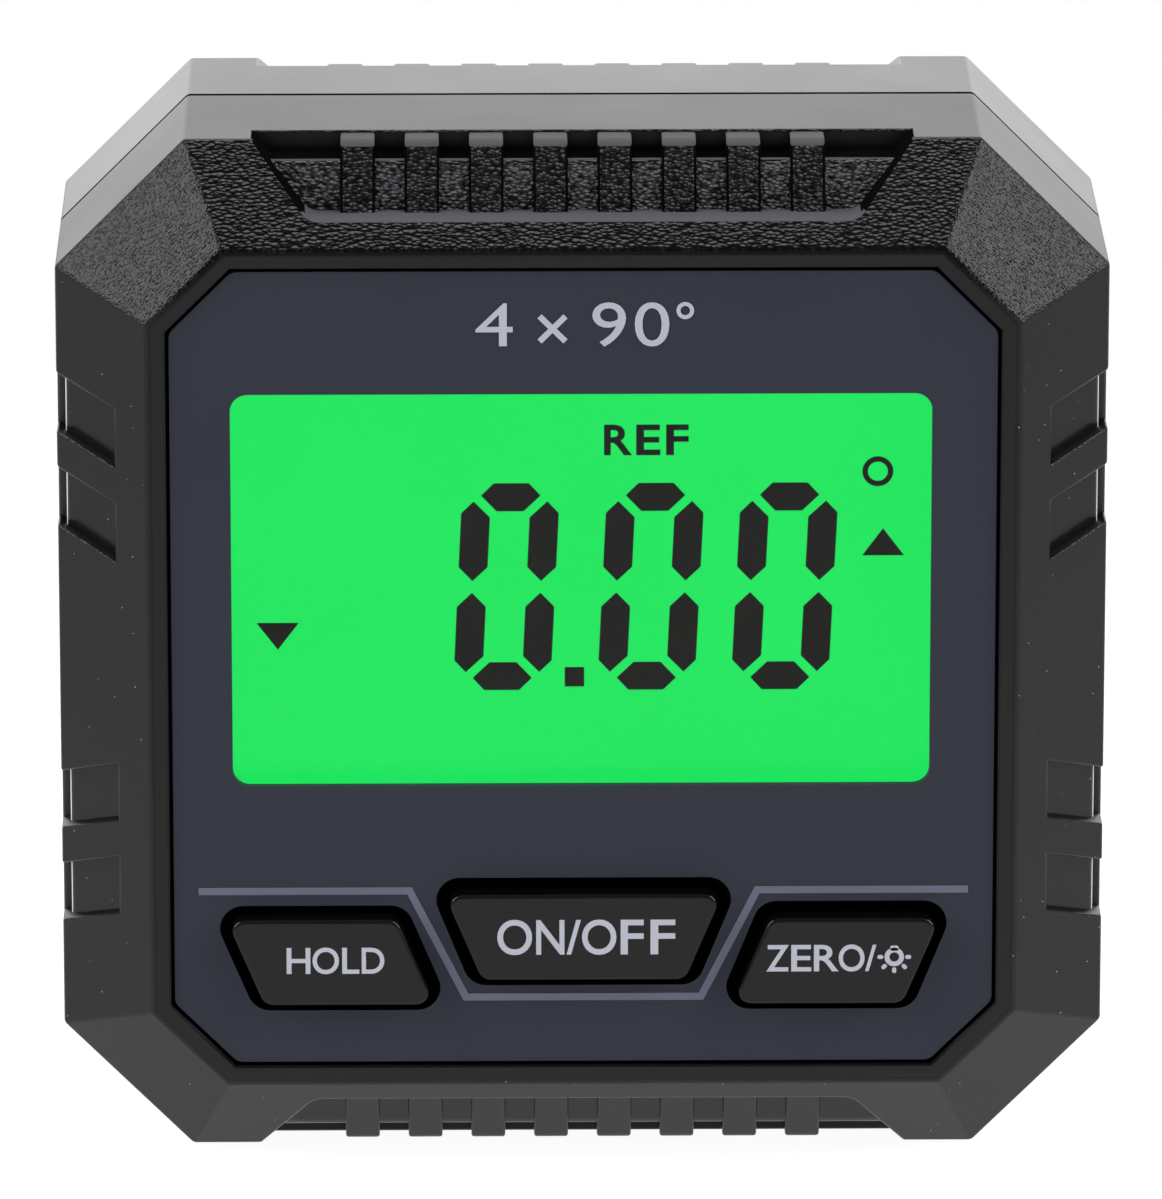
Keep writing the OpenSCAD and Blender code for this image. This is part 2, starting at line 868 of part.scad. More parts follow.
module switch_body(x, z) {
    color(chip_black) seat() difference() {
        slab(switch_top, board_front)
            translate([x, z])
                square(switch_w, center = true);
        pin(x, z, plunger_d / 2 + fit_gap, switch_top - overcut, switch_top + plunger_depth);
    }
}

module switch_hold() {
    switch_body(-switch_x, switch_z);
}

module switch_power() {
    switch_body(0, mid_switch_z);
}

module switch_zero() {
    switch_body(switch_x, switch_z);
}

module plunger(x, z) {
    color(key_plastic) seat()
        pin(x, z, plunger_d / 2, plunger_tip, switch_top + plunger_depth - key_travel - 2 * fit_gap);
}

module plunger_hold() {
    plunger(-switch_x, switch_z);
}

module plunger_power() {
    plunger(0, mid_switch_z);
}

module plunger_zero() {
    plunger(switch_x, switch_z);
}

// A key: a cap with a rounded edge, and a flange behind the front wall
module key(outline) {
    cap = inset(outline, key_gap);
    cap_r = key_r - key_gap;
    layers = 4;
    thin = 0.01;
    color(key_plastic) seat() {
        hull() {
            slab(flange_front - thin, flange_front)
                rounded(cap, cap_r, $fn = 32);
            for (i = [0 : layers])
                let (turn = 90 * i / layers, in = key_edge * (1 - cos(turn)), up = key_edge * sin(turn))
                    slab(key_edge - key_proud - up, key_edge - key_proud - up + thin)
                        rounded(inset(cap, in), cap_r - in, $fn = 32);
        }
        slab(flange_front, flange_back)
            rounded(inset(outline, -flange_w), key_r);
    }
}

module key_hold() {
    key(hold_outline);
}

module key_power() {
    key(power_outline);
}

module key_zero() {
    key(zero_outline);
}

// Cover plate with two tabs that hook behind the back wall and a latch for the thumb
module battery_cover() {
    color(black_plastic) seat() {
        slab(cover_front, shell_depth)
            polygon(rect(2 * cover_half_l, -cover_half_h, cover_half_h));
        for (x = [-tab_x, tab_x])
            translate([x, 0, 0]) {
                slab(tab_depth - tab_t, tab_depth)
                    polygon(rect(tab_w, tray_half_h - tab_root, cover_half_h + tab_over));
                slab(tab_depth - tab_t, cover_front + fit_gap)
                    polygon(rect(tab_w, tray_half_h - tab_root, tray_half_h - 3 * fit_gap));
            }
        slab(latch_front, latch_front + latch_t)
            polygon(rect(latch_w, -cover_half_h - latch_l, -cover_half_h + overcut));
    }
}

// A cell lying along X, its nub to the right
module cell() {
    color(cell_green)
        translate([-cell_len / 2 + cell_shift, cell_depth, 0])
            rotate([0, 90, 0]) {
                cylinder(r = cell_r, h = cell_len - nub_l);
                cylinder(r = nub_r, h = cell_len);
            }
}

module cell_upper() {
    seat()
        translate([0, 0, cell_pitch / 2])
            cell();
}

module cell_lower() {
    seat()
        translate([0, 0, -cell_pitch / 2])
            mirror([1, 0, 0])
                cell();
}

// Plate against the left end of the tray, with a tail through the tray floor
module end_plate() {
    translate([-tray_half_l, cell_depth - plate_h / 2, -plate_w / 2])
        cube([plate_t, plate_h, plate_w]);
    translate([-tray_half_l, tray_front - tail_l, -tail_w / 2])
        cube([plate_t, cell_depth - tray_front + tail_l, tail_w]);
}

// Raised button that meets the nub of a cell
module button() {
    translate([-tray_half_l + plate_t - fit_gap, cell_depth, 0])
        rotate([0, 90, 0])
            cylinder(r1 = button_r, r2 = button_tip_r, h = button_h + fit_gap - screw_gap);
}

// Tapered coil from the left plate to the flat end of a cell
module coil() {
    count = spring_turns * spring_steps;
    start = -tray_half_l + plate_t + wire_r;
    length = spring_l - 2 * wire_r - screw_gap;
    rings = [
        for (k = [0 : count])
            let (
                part = k / count, turn = 360 * k / spring_steps,
                r = spring_base_r + (spring_tip_r - spring_base_r) * part
            )
            for (s = [0 : spring_sides - 1])
                let (a = 360 * s / spring_sides, out = r + wire_r * cos(a))
                [
                    start + length * part + wire_r * sin(a),
                    cell_depth + out * cos(turn),
                    out * sin(turn)
                ]
    ];
    sides = [
        for (k = [0 : count - 1])
            for (s = [0 : spring_sides - 1])
                let (t = (s + 1) % spring_sides, a = k * spring_sides, b = a + spring_sides)
                [a + s, a + t, b + t, b + s]
    ];
    first = [for (s = [spring_sides - 1 : -1 : 0]) s];
    last = [for (s = [0 : spring_sides - 1]) count * spring_sides + s];
    polyhedron(rings, concat(sides, [first, last]));
}

module negative_plate() {
    color(steel) seat()
        translate([0, 0, cell_pitch / 2])
            end_plate();
}

module negative_spring() {
    color(steel) seat()
        translate([0, 0, cell_pitch / 2])
            coil();
}

module positive_plate() {
    color(steel) seat()
        translate([0, 0, -cell_pitch / 2]) {
            end_plate();
            button();
        }
}

// Plate that joins the two cells at the right end of the tray
module bridge_plate() {
    color(steel) seat()
        mirror([1, 0, 0]) {
            translate([-tray_half_l, cell_depth - plate_h / 2, -(cell_pitch + plate_w) / 2])
                cube([plate_t, plate_h, cell_pitch + plate_w]);
            translate([0, 0, cell_pitch / 2])
                button();
        }
}

module bridge_spring() {
    color(steel) seat()
        mirror([1, 0, 0])
            translate([0, 0, -cell_pitch / 2])
                coil();
}

// Lead from the tail of a contact plate to the board, with two bends
module lead(z) {
    bend_x = lead_x + lead_bend;
    turn_x = bend_x + lead_run;
    upper = lead_top - lead_straight;
    level = upper - lead_bend;
    lower = level - lead_bend;
    pin(lead_x, z, lead_r, upper, lead_top);
    translate([bend_x, upper, z])
        rotate([0, 0, 180])
            rotate_extrude(angle = 90)
                translate([lead_bend, 0])
                    circle(lead_r);
    translate([bend_x, level, z])
        rotate([0, 90, 0])
            cylinder(r = lead_r, h = lead_run);
    translate([turn_x, lower, z])
        rotate_extrude(angle = 90)
            translate([lead_bend, 0])
                circle(lead_r);
    pin(turn_x + lead_bend, z, lead_r, board_back, lower);
}

module negative_lead() {
    color(lead_black) seat()
        lead(cell_pitch / 2);
}

module positive_lead() {
    color(lead_red) seat()
        lead(-cell_pitch / 2);
}

// A screw seen from its head, with a cross recess
module screw(r, head, head_height, seat_depth, reach) {
    difference() {
        union() {
            pin(0, 0, r, seat_depth - reach, seat_depth + fit_gap);
            pin(0, 0, head, seat_depth, seat_depth + head_height);
        }
        for (turn = [0, 90])
            rotate([0, turn, 0])
                translate([-drive_l / 2, seat_depth + head_height - drive_depth, -drive_w / 2])
                    cube([drive_l, drive_depth + overcut, drive_w]);
    }
}

module case_screws() {
    color(steel) seat()
        at_screws()
            screw(screw_d / 2, head_r, head_h, parting_depth + screw_floor, screw_floor + screw_reach);
}

module board_screws() {
    color(steel) seat()
        for (p = post_spots)
            translate([p[0], 0, p[1]])
                screw(board_screw_d / 2, board_head_r, board_head_h, board_back, board_screw_l);
}

module magnet_base_left() {
    color(steel) seat()
        magnet(-magnet_x, 0);
}

module magnet_base_right() {
    color(steel) seat()
        magnet(magnet_x, 0);
}

module magnet_left() {
    color(steel) seat()
        rotate([0, 90, 0])
            magnet(0, 0);
}

module magnet_right() {
    color(steel) seat()
        rotate([0, -90, 0])
            magnet(0, 0);
}

front_shell();
rear_shell();
face_panel();
display_lens();
front_polariser();
front_glass();
rear_glass();
rear_polariser();
diffuser();
light_guide();
reflector();
backlight_lamps();
display_holder();
contact_strip();
circuit_board();
controller_chip();
tilt_sensor();
crystal();
chip_capacitors();
switch_hold();
switch_power();
switch_zero();
plunger_hold();
plunger_power();
plunger_zero();
key_hold();
key_power();
key_zero();
battery_cover();
cell_upper();
cell_lower();
negative_plate();
negative_spring();
positive_plate();
bridge_plate();
bridge_spring();
negative_lead();
positive_lead();
case_screws();
board_screws();
magnet_base_left();
magnet_base_right();
magnet_left();
magnet_right();
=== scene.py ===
# %% [markdown]
# # A digital angle gauge
# The real gauge is a 60 mm box that stands on a work piece or a saw blade and shows its tilt. Two black
# moulded half shells hold a printed panel, a green display and three keys. The CAD model already has
# every solid in its place, so this lesson only dresses it: rounded edges, finishes, print and light.

# %% Load the CAD model
import json
import math

import bmesh
import bpy
from mathutils import Matrix, Vector
from mathutils.bvhtree import BVHTree


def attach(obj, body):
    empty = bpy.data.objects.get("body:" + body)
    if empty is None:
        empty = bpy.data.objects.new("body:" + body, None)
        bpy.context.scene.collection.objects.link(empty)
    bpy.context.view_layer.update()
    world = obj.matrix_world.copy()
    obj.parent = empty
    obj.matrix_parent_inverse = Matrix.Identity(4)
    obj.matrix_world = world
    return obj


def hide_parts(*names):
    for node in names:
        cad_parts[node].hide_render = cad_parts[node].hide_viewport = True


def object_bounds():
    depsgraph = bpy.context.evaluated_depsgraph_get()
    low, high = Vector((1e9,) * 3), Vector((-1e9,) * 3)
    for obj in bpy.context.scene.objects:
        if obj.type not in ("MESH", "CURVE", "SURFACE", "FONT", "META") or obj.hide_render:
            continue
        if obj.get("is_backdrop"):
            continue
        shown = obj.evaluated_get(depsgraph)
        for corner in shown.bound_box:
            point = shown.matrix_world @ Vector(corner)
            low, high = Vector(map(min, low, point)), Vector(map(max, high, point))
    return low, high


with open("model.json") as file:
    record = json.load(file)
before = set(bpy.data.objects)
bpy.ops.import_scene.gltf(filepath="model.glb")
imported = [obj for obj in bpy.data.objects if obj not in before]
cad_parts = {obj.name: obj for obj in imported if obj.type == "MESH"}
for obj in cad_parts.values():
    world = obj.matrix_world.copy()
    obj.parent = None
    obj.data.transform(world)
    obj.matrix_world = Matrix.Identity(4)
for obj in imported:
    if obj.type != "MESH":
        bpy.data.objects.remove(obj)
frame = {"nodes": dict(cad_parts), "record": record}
cad_low, cad_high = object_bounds()
nodes = frame["nodes"]
MM = 0.001
print(f"{len(nodes)} CAD nodes, box {[round(s / MM, 1) for s in cad_high - cad_low]} mm")

# %% [markdown]
# ## Colours and nodes
# Colours are written as the hex codes that a picture editor shows. Blender mixes light in linear values,
# so one function turns the codes round. A second one adds a shader node with its settings and links: a
# plain value goes into a socket as it is, another node's output is linked to it. Nodes could be placed by
# hand in the shader editor, but a few lines of code are easier to read and to change.

# %% Colours
def linear(code):
    """An sRGB hex colour as the linear colour that Blender's sockets take."""
    parts = [int(code[i:i + 2], 16) / 255 for i in (1, 3, 5)]
    return [c / 12.92 if c <= 0.04045 else ((c + 0.055) / 1.055) ** 2.4 for c in parts] + [1.0]


print("mid grey in linear light:", [round(c, 3) for c in linear("#808080")])

# %% Nodes and finishes
def add(tree, kind, sockets=None, **settings):
    """One new shader node; each socket gets a value or another node's output."""
    node = tree.nodes.new("ShaderNode" + kind)
    for name, value in settings.items():
        setattr(node, name, value)
    for name, value in (sockets or {}).items():
        if isinstance(value, bpy.types.NodeSocket):
            tree.links.new(value, node.inputs[name])
        else:
            node.inputs[name].default_value = value
    return node


def finish(name, sockets):
    """A material with the values that are the same all over its surface set on its shader."""
    made = bpy.data.materials.new(name)
    made.use_nodes = True
    shader = made.node_tree.nodes["Principled BSDF"]
    for socket, value in sockets.items():
        shader.inputs[socket].default_value = value
    return made, made.node_tree, shader


print(len(bpy.data.materials), "materials before the first finish")

# %% [markdown]
# ## Wear and fine grain
# No used surface is one even colour: gloss and tone drift in soft patches, from hands and from the mould.
# A noise does that, in the object's own coordinates, so that it stays put when a piece moves. Moulded
# plastic also has the fine pits of a spark-eroded mould. They could be a painted picture, but a noise in
# a bump follows any shape. Pits of a few hundredths of a millimetre are too fine to show, so they are
# drawn about three times as coarse.

# %% Wear
# A colour mix node has sockets for other kinds of value too, so its colour sockets go by number
MIX_A, MIX_B, MIX_OUT = 6, 7, 2
NOISE_LOW, NOISE_HIGH = 0.3, 0.7


def wear(tree, shader, colours, roughness, patch):
    """Lets the colour and the gloss drift between two values, in soft patches of that size in mm."""
    place = add(tree, "TexCoord").outputs["Object"]
    cloud = add(tree, "TexNoise", {"Vector": place, "Scale": 1 / (patch * MM), "Detail": 3.0})
    first, second = map(linear, colours)
    tint = add(tree, "Mix", {"Factor": cloud.outputs["Fac"], MIX_A: first, MIX_B: second}, data_type="RGBA")
    gloss = add(tree, "MapRange", {
        "Value": cloud.outputs["Fac"], "From Min": NOISE_LOW, "From Max": NOISE_HIGH,
        "To Min": roughness[0], "To Max": roughness[1],
    })
    tree.links.new(tint.outputs[MIX_OUT], shader.inputs["Base Color"])
    tree.links.new(gloss.outputs["Result"], shader.inputs["Roughness"])
    return place


print("gloss follows the noise from", NOISE_LOW, "to", NOISE_HIGH)

# %% Moulded plastic
PLASTIC_IOR = 1.52
PATCH = 9.0


def moulded(name, colours, roughness, grain, depth, sockets=None):
    """Moulded plastic: the fine even grain of a spark-eroded mould, with sizes in mm."""
    made, tree, shader = finish(name, {"IOR": PLASTIC_IOR, **(sockets or {})})
    place = wear(tree, shader, colours, roughness, PATCH)
    spark = add(tree, "TexNoise", {"Vector": place, "Scale": 1 / (grain * MM), "Detail": 2.0})
    bump = add(tree, "Bump", {"Height": spark.outputs["Fac"], "Distance": depth * MM})
    tree.links.new(bump.outputs["Normal"], shader.inputs["Normal"])
    return made


print("wear in patches of", PATCH, "mm")

# %% [markdown]
# ## Satin ABS
# Both shells are black ABS. The four measuring faces, the back and the rim come from a finely eroded
# mould and look satin. One black would do for all of them, but the rim is painted a shade paler as
# painted light, and the rear shell is a little glossier, so each has a finish of its own.

# %% Satin ABS
ABS_BLACK = ("#0F0F10", "#131314")
SATIN = {"Specular IOR Level": 0.2}
satin_abs = moulded("abs_satin", ABS_BLACK, (0.37, 0.40), grain=0.12, depth=0.004, sockets=SATIN)
rear_abs = moulded("abs_satin_rear", ABS_BLACK, (0.29, 0.32), grain=0.12, depth=0.003, sockets=SATIN)
# The rim's satin black is painted a shade paler, as painted light
rim_painted_light_abs = moulded(
    "abs_satin_rim_painted_light", ("#1B1B1C", "#1F1F20"), (0.37, 0.40), grain=0.12, depth=0.004, sockets=SATIN,
)
print(satin_abs.name, rear_abs.name, rim_painted_light_abs.name)

# %% [markdown]
# ## Leather grain
# The bevels, the ribs and the pocket floors have a leather grain: flat pebbles of about 0.2 mm, longer
# sideways than high, with dark lines between them. It could be sculpted, but it is far too fine for
# geometry. A Voronoi texture gives the distance to the nearest pebble's middle. Turned round, that is the
# height of the pebble for a bump, and it also tells where the top of a pebble gets a paler painted
# highlight.

# %% Leather grain
GRAIN_GLOSS = (0.2, 0.24)
VALLEY, TOP = 0.6, 0.2


def leather_abs(name, colours, top, depth, pebble, stretch, gloss=0.25):
    """ABS with a leather grain: pebbles of that size and depth in mm, with painted highlights on their tops.
    """
    made, tree, shader = finish(name, {"IOR": PLASTIC_IOR, "Specular IOR Level": gloss})
    place = wear(tree, shader, colours, GRAIN_GLOSS, PATCH)
    along = add(tree, "Mapping", {"Vector": place, "Scale": (1 / stretch, 1.0, 1.0)})
    pebbles = add(tree, "TexVoronoi", {"Vector": along.outputs["Vector"], "Scale": 1 / (pebble * MM)})
    height = pebbles.outputs["Distance"]
    bump = add(tree, "Bump", {"Height": height, "Distance": depth * MM}, invert=True)
    tree.links.new(bump.outputs["Normal"], shader.inputs["Normal"])
    # The mask for the painted highlight on the pebble tops, paler towards the top colour
    rubbed = add(tree, "MapRange", {"Value": height, "From Min": VALLEY, "From Max": TOP})
    below = shader.inputs["Base Color"].links[0].from_socket
    paler = add(tree, "Mix", {
        "Factor": rubbed.outputs["Result"], MIX_A: below, MIX_B: linear(top),
    }, data_type="RGBA")
    tree.links.new(paler.outputs[MIX_OUT], shader.inputs["Base Color"])
    return made


print("pebbles rise from", VALLEY, "to", TOP, "of their size from the middle")

# %% Grained ABS
GRAIN_BLACK = ("#060608", "#0A0A0C")
FLOOR_BLACK = ("#08080A", "#0B0B0D")
# The third colour of each grain is the painted highlight on its pebble tops
grained_abs = leather_abs("abs_leather_grain", GRAIN_BLACK, "#141417", depth=0.07, pebble=0.2, stretch=1.7)
corner_abs = leather_abs(
    "abs_leather_grain_corner", GRAIN_BLACK, "#1A1B1E", depth=0.039, pebble=0.14, stretch=1.3, gloss=0.24,
)
rib_abs = leather_abs("abs_leather_grain_rib", GRAIN_BLACK, "#1E1E23", depth=0.09, pebble=0.17, stretch=1.6)
floor_abs = leather_abs(
    "abs_leather_grain_pocket", FLOOR_BLACK, "#58585E", depth=0.13, pebble=0.16, stretch=2.0,
)
print(grained_abs.name, corner_abs.name, rib_abs.name, floor_abs.name)

# %% [markdown]
# ## Rubbed, dusty and shaded ABS, with painted light
# Hands have rubbed the grain of the side and lower bevels nearly flat, and a few specks of dust lie on
# them. The ledge under the ribs and the end walls of the notches are painted paler as painted light,
# the caps of the ribs carry a painted highlight and the edges of the notches a painted glint. Each could
# be painted by hand on an unwrapped mesh. Here every kind of face has a small finish of its own instead,
# which needs no unwrapping. Narrow gaps, where no light gets in, are painted deep black as shade.

# %% Dust
DUST = "#B4B4B2"


def dusty(made, cell, speck):
    """Strews specks of pale dust on a finish, about one to a cell, with both sizes in mm."""
    tree = made.node_tree
    shader = tree.nodes["Principled BSDF"]
    place = add(tree, "TexCoord").outputs["Object"]
    grains = add(tree, "TexVoronoi", {"Vector": place, "Scale": 1 / (cell * MM)})
    spot = add(tree, "MapRange", {
        "Value": grains.outputs["Distance"], "From Min": speck / cell, "From Max": 0.5 * speck / cell,
    })
    below = shader.inputs["Base Color"].links[0].from_socket
    dust = add(tree, "Mix", {
        "Factor": spot.outputs["Result"], MIX_A: below, MIX_B: linear(DUST),
    }, data_type="RGBA")
    tree.links.new(dust.outputs[MIX_OUT], shader.inputs["Base Color"])


worn_abs = leather_abs("abs_leather_grain_worn", ABS_BLACK, "#121213", depth=0.005, pebble=0.2, stretch=1.0)
dusty(worn_abs, cell=1.0, speck=0.045)
print(worn_abs.name, "with specks of dust")

# %% Rubbed ABS, painted shade and painted light
NO_GLOSS = {"Specular IOR Level": 0.0}
LOW_GLOSS = {"Specular IOR Level": 0.05}
rubbed_abs = leather_abs(
    "abs_leather_grain_rubbed", ABS_BLACK, "#141415", depth=0.005, pebble=0.2, stretch=1.0, gloss=0.5,
)
# A deep black without gloss, painted shade for the gaps and walls where hardly any light gets in
shade_abs = moulded(
    "abs_in_shade", ("#060606", "#0B0B0B"), (0.8, 0.9), grain=0.1, depth=0.01, sockets=NO_GLOSS,
)
# The ledge is painted pale grey, as painted light on a face that looks up
ledge_painted_light_abs = moulded(
    "abs_ledge_painted_light", ("#404044", "#4A4A4E"), (0.6, 0.7), grain=0.2, depth=0.01, sockets=SATIN,
)
# The caps of the ribs are painted pale grey, as a painted highlight
rib_cap_painted_highlight_abs = moulded(
    "abs_rib_cap_painted_highlight", ("#4C4C4E", "#545456"), (0.6, 0.7), grain=0.2, depth=0.02, sockets=LOW_GLOSS,
)
# The end walls of the notches are painted lighter, as painted light
notch_end_painted_light_abs = moulded(
    "abs_notch_end_painted_light", ("#3A3A40", "#424248"), (0.6, 0.7), grain=0.2, depth=0.01, sockets=SATIN,
)
# The edges of the notches are painted near white, as a painted glint
notch_edge_painted_glint_abs = moulded(
    "abs_notch_edge_painted_glint", ("#D4D4D2", "#DEDEDC"), (0.4, 0.5), grain=0.2, depth=0.005, sockets=SATIN,
)
print(rubbed_abs.name, shade_abs.name, ledge_painted_light_abs.name, rib_cap_painted_highlight_abs.name, notch_end_painted_light_abs.name, notch_edge_painted_glint_abs.name)

# %% [markdown]
# ## Edges in the open
# No moulded edge is perfectly sharp: a tenth of a millimetre of radius catches a thin line of light, and
# where two shells meet it makes the groove of the parting line, which is painted dark as shade further
# on. A bevel modifier could do it, but it would round the hidden inner edges too. So only an edge that
# looks out into the open is picked. A ray from the edge into the air tells which ones do: inside the box
# it hits a wall.

# %% Find the open edges
OUTSIDE = (
    "front_shell", "rear_shell", "face_panel", "display_lens", "battery_cover",
    "key_hold", "key_power", "key_zero", "case_screws",
)
SHARP = math.radians(28)
CLEAR = 0.02
whole = bmesh.new()
for name in OUTSIDE:
    whole.from_mesh(nodes[name].data)
air = BVHTree.FromBMesh(whole)
print(len(whole.faces), "outer faces for the rays to meet")
whole.free()


def in_the_open(edge):
    """True where a ray from a sharp edge, halfway between its two faces, meets nothing."""
    if not edge.is_convex or edge.calc_face_angle(0) < SHARP:
        return False
    out = (edge.link_faces[0].normal + edge.link_faces[1].normal).normalized()
    middle = (edge.verts[0].co + edge.verts[1].co) / 2
    return out.length > 0 and air.ray_cast(middle + out * CLEAR * MM, out)[0] is None


# %% [markdown]
# ## From a mesh to a piece
# The CAD shapes stay as they are, and a piece is made from a merged copy or from a new mesh. Each becomes
# an object that rides on the CAD body it belongs to, so that a key's legend moves with its key. Rounds are
# shaded smooth and edges over 35 degrees stay sharp. Smooth shading alone would bend the light on the large
# flat faces, so a weighted normal modifier keeps those flat.

# %% Make a piece
MERGE = 0.001
CREASE = math.radians(35)


def merged(node):
    """A copy of a CAD node's mesh with its split vertices merged."""
    bm = bmesh.new()
    bm.from_mesh(nodes[node].data)
    bmesh.ops.remove_doubles(bm, verts=bm.verts, dist=MERGE * MM)
    return bm


def piece(name, bm, body, *finishes):
    """Makes a bmesh an object that rides on a CAD body, with smooth rounds and flat faces."""
    mesh = bpy.data.meshes.new(name)
    bm.to_mesh(mesh)
    bm.free()
    carried = mesh.attributes.get("custom_normal")
    if carried:
        mesh.attributes.remove(carried)
    for each in finishes:
        mesh.materials.append(each)
    made = bpy.data.objects.new(name, mesh)
    bpy.context.scene.collection.objects.link(made)
    mesh.shade_smooth()
    mesh.set_sharp_from_angle(angle=CREASE)
    keep_flat = made.modifiers.new("keep_flat", "WEIGHTED_NORMAL")
    keep_flat.keep_sharp = True
    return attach(made, body)


print("edges over", round(math.degrees(CREASE)), "degrees stay sharp")

# %% [markdown]
# ## Three rounds
# The edges are rounded in three goes, because they differ on the real gauge: the parting line first, then
# the outer edge of the rim, which is worn softest, and the rest last. A single bevel could take them all,
# but it has one radius, and short edges would hold it down everywhere. The rims of the screw wells run out
# into the bevel, where there is no room for a round, so they stay sharp.

# %% Tell the edges apart
# Places that are nearer than this, in mm, count as the same
NEAR = 0.01
RIM_Y, MID_Z = -14.2, 30.0
# The screw wells: how far from the middle, the reach round their axis, and the depth they start at
WELL, WELL_R, WELL_Y = 21.85, 2.7, 5.0


def middle_of(edge):
    """The place of an edge's middle in mm."""
    return (edge.verts[0].co + edge.verts[1].co) / 2 / MM


def on_rim(edge):
    """True on the outer edge of the front rim."""
    x, y, z = middle_of(edge)
    out = edge.link_faces[0].normal + edge.link_faces[1].normal
    return abs(y - RIM_Y) < NEAR and out.x * x + out.z * (z - MID_Z) > 0


def by_well(place):
    """True next to a screw well in the back."""
    return place.y > WELL_Y and math.hypot(abs(place.x) - WELL, abs(place.z - MID_Z) - WELL) < WELL_R


print("rim at", RIM_Y, "mm, screw wells", WELL, "mm from the middle")

# %% Round the edges of a copy
FLAT = math.radians(0.3)
SEAM_Y, SEAM_R, RIM_R = 1.5, 0.22, 0.35


def rounded(bm, edges, radius, segments):
    """Rounds some edges of a mesh to that radius in mm."""
    bmesh.ops.bevel(
        bm, geom=edges, offset=radius * MM, offset_type="OFFSET", segments=segments, profile=0.5,
        affect="EDGES", clamp_overlap=True, material=-1,
    )
    bm.normal_update()


def softened(node, radius):
    """A merged copy of a CAD node's mesh with its open edges rounded, kept within the CAD's box."""
    bm = merged(node)
    bmesh.ops.dissolve_limit(bm, angle_limit=FLAT, verts=bm.verts, edges=bm.edges)
    bm.normal_update()
    seam = [e for e in bm.edges if abs(middle_of(e).y - SEAM_Y) < NEAR and in_the_open(e)]
    rounded(bm, seam, SEAM_R, segments=4)
    rim = [e for e in bm.edges if in_the_open(e) and on_rim(e)]
    rounded(bm, rim, RIM_R, segments=4)
    edges = [e for e in bm.edges if in_the_open(e) and not by_well(middle_of(e))]
    rounded(bm, edges, radius, segments=3)
    for vert in bm.verts:
        vert.co = [min(max(c, low), high) for c, low, high in zip(vert.co, cad_low, cad_high)]
    bm.normal_update()
    return bm, len(seam) + len(rim) + len(edges)


print("parting line", SEAM_R, "mm, rim", RIM_R, "mm")

# %% [markdown]
# ## Which face gets which finish
# The mould of a shell is grained on the bevels and smooth on the faces. Faces could be picked by hand in
# edit mode, but the pick would be lost with the next change of the CAD. Here the place of a face and the
# way it looks tell what it is. The first helpers find the small parts: the gaps in shade, the notches and
# the pocket with its ribs. All places are in millimetres.

# %% Small parts of a shell
# Shares of a face's normal along one axis, from a face that hardly leans that way to one that looks straight
HARDLY, A_LITTLE, PARTLY, MOSTLY, NEARLY, STRAIGHT = 0.1, 0.15, 0.3, 0.75, 0.9, 0.98
# The panel's recess: half its width, where it ends, and how far behind the rim all of it is in shade
RECESS_HALF, RECESS_Y, SHADE_FROM = 24.0, -9.0, 0.5
# The notches: where end walls and edges lie, how the edges lean, and a place just inside the box's side
NOTCH_X, NOTCH_EDGE_X, NOTCH_EDGE_LEAN, FACE_X = 29.39, (29.43, 29.5), (0.92, 0.999), 29.9
# The upper pocket: the box of the rib caps and how they lean, then the heights of ledge and floor
RIBS_X, CAP_Y, CAP_Z, CAP_TOP, CAP_LEAN = 14.0, -7.5, 59.53, 59.87, 0.8
LEDGE_TOP, POCKET_TOP, LEVEL = 58.0, 59.3, 0.95


def shaded(x, y, up, normal):
    """True in the parting line and in the panel's recess, where hardly any light gets in."""
    if abs(y - SEAM_Y) < SEAM_R + 2 * NEAR and A_LITTLE < abs(normal.y) < STRAIGHT:
        return True
    in_recess = max(abs(x), abs(up)) < RECESS_HALF and y < RECESS_Y
    return in_recess and (abs(normal.y) < PARTLY or y > RIM_Y + SHADE_FROM)


def notch_part(x, y, normal):
    """The edge of a side notch with its painted glint, or its end wall painted lighter as painted light, or
    nothing.
    """
    (inner, outer), (least, most) = NOTCH_EDGE_X, NOTCH_EDGE_LEAN
    if abs(normal.z) > HARDLY:
        return None
    if y < 0 and inner < abs(x) < outer and least < abs(normal.x) < most:
        return "edge"
    return "notch" if NOTCH_X < abs(x) < FACE_X and normal.y < -NEARLY else None


def pocket_part(x, y, z, normal):
    """The cap of a rib, the ledge under the ribs or a wall of the upper pocket, or nothing."""
    if abs(x) < RIBS_X and y < CAP_Y and CAP_Z < z < CAP_TOP and abs(normal.x) < CAP_LEAN:
        return "cap"
    if normal.z > MOSTLY and z < LEDGE_TOP:
        return "ledge"
    wall = abs(normal.x) > A_LITTLE or normal.z > LEVEL and z < POCKET_TOP
    return "shade" if y < 0 and wall else None


print("notches from", NOTCH_X, "mm, rib caps from", CAP_Z, "mm")

# %% [markdown]
# ## Slopes
# What is left is sorted by its slope, the share of the normal along the depth. From the outside in there
# are measuring faces, bevels, ribs, pocket floors and the front or back, each looking more to the front or
# back than the one before. Four limits between them are enough, and the rear shell has its own.

# %% Name the part that a face belongs to
SLOPES = {"front_shell": (0.5, 0.8, 0.9, 0.97), "rear_shell": (0.5, 0.72, 0.85, 0.96)}
BEVEL, RIB, FLOOR = 1, 2, 3
# The grip pockets: half their width, and how far from mid height and mid depth they start
GRIP_X, GRIP_UP, GRIP_Y = 19.5, 25.5, 7.0
# How deep a face can lie and still be rim, and how far a bevel leans to count as upper or corner
RIM_DEEP, LEANING = 0.1, 0.2


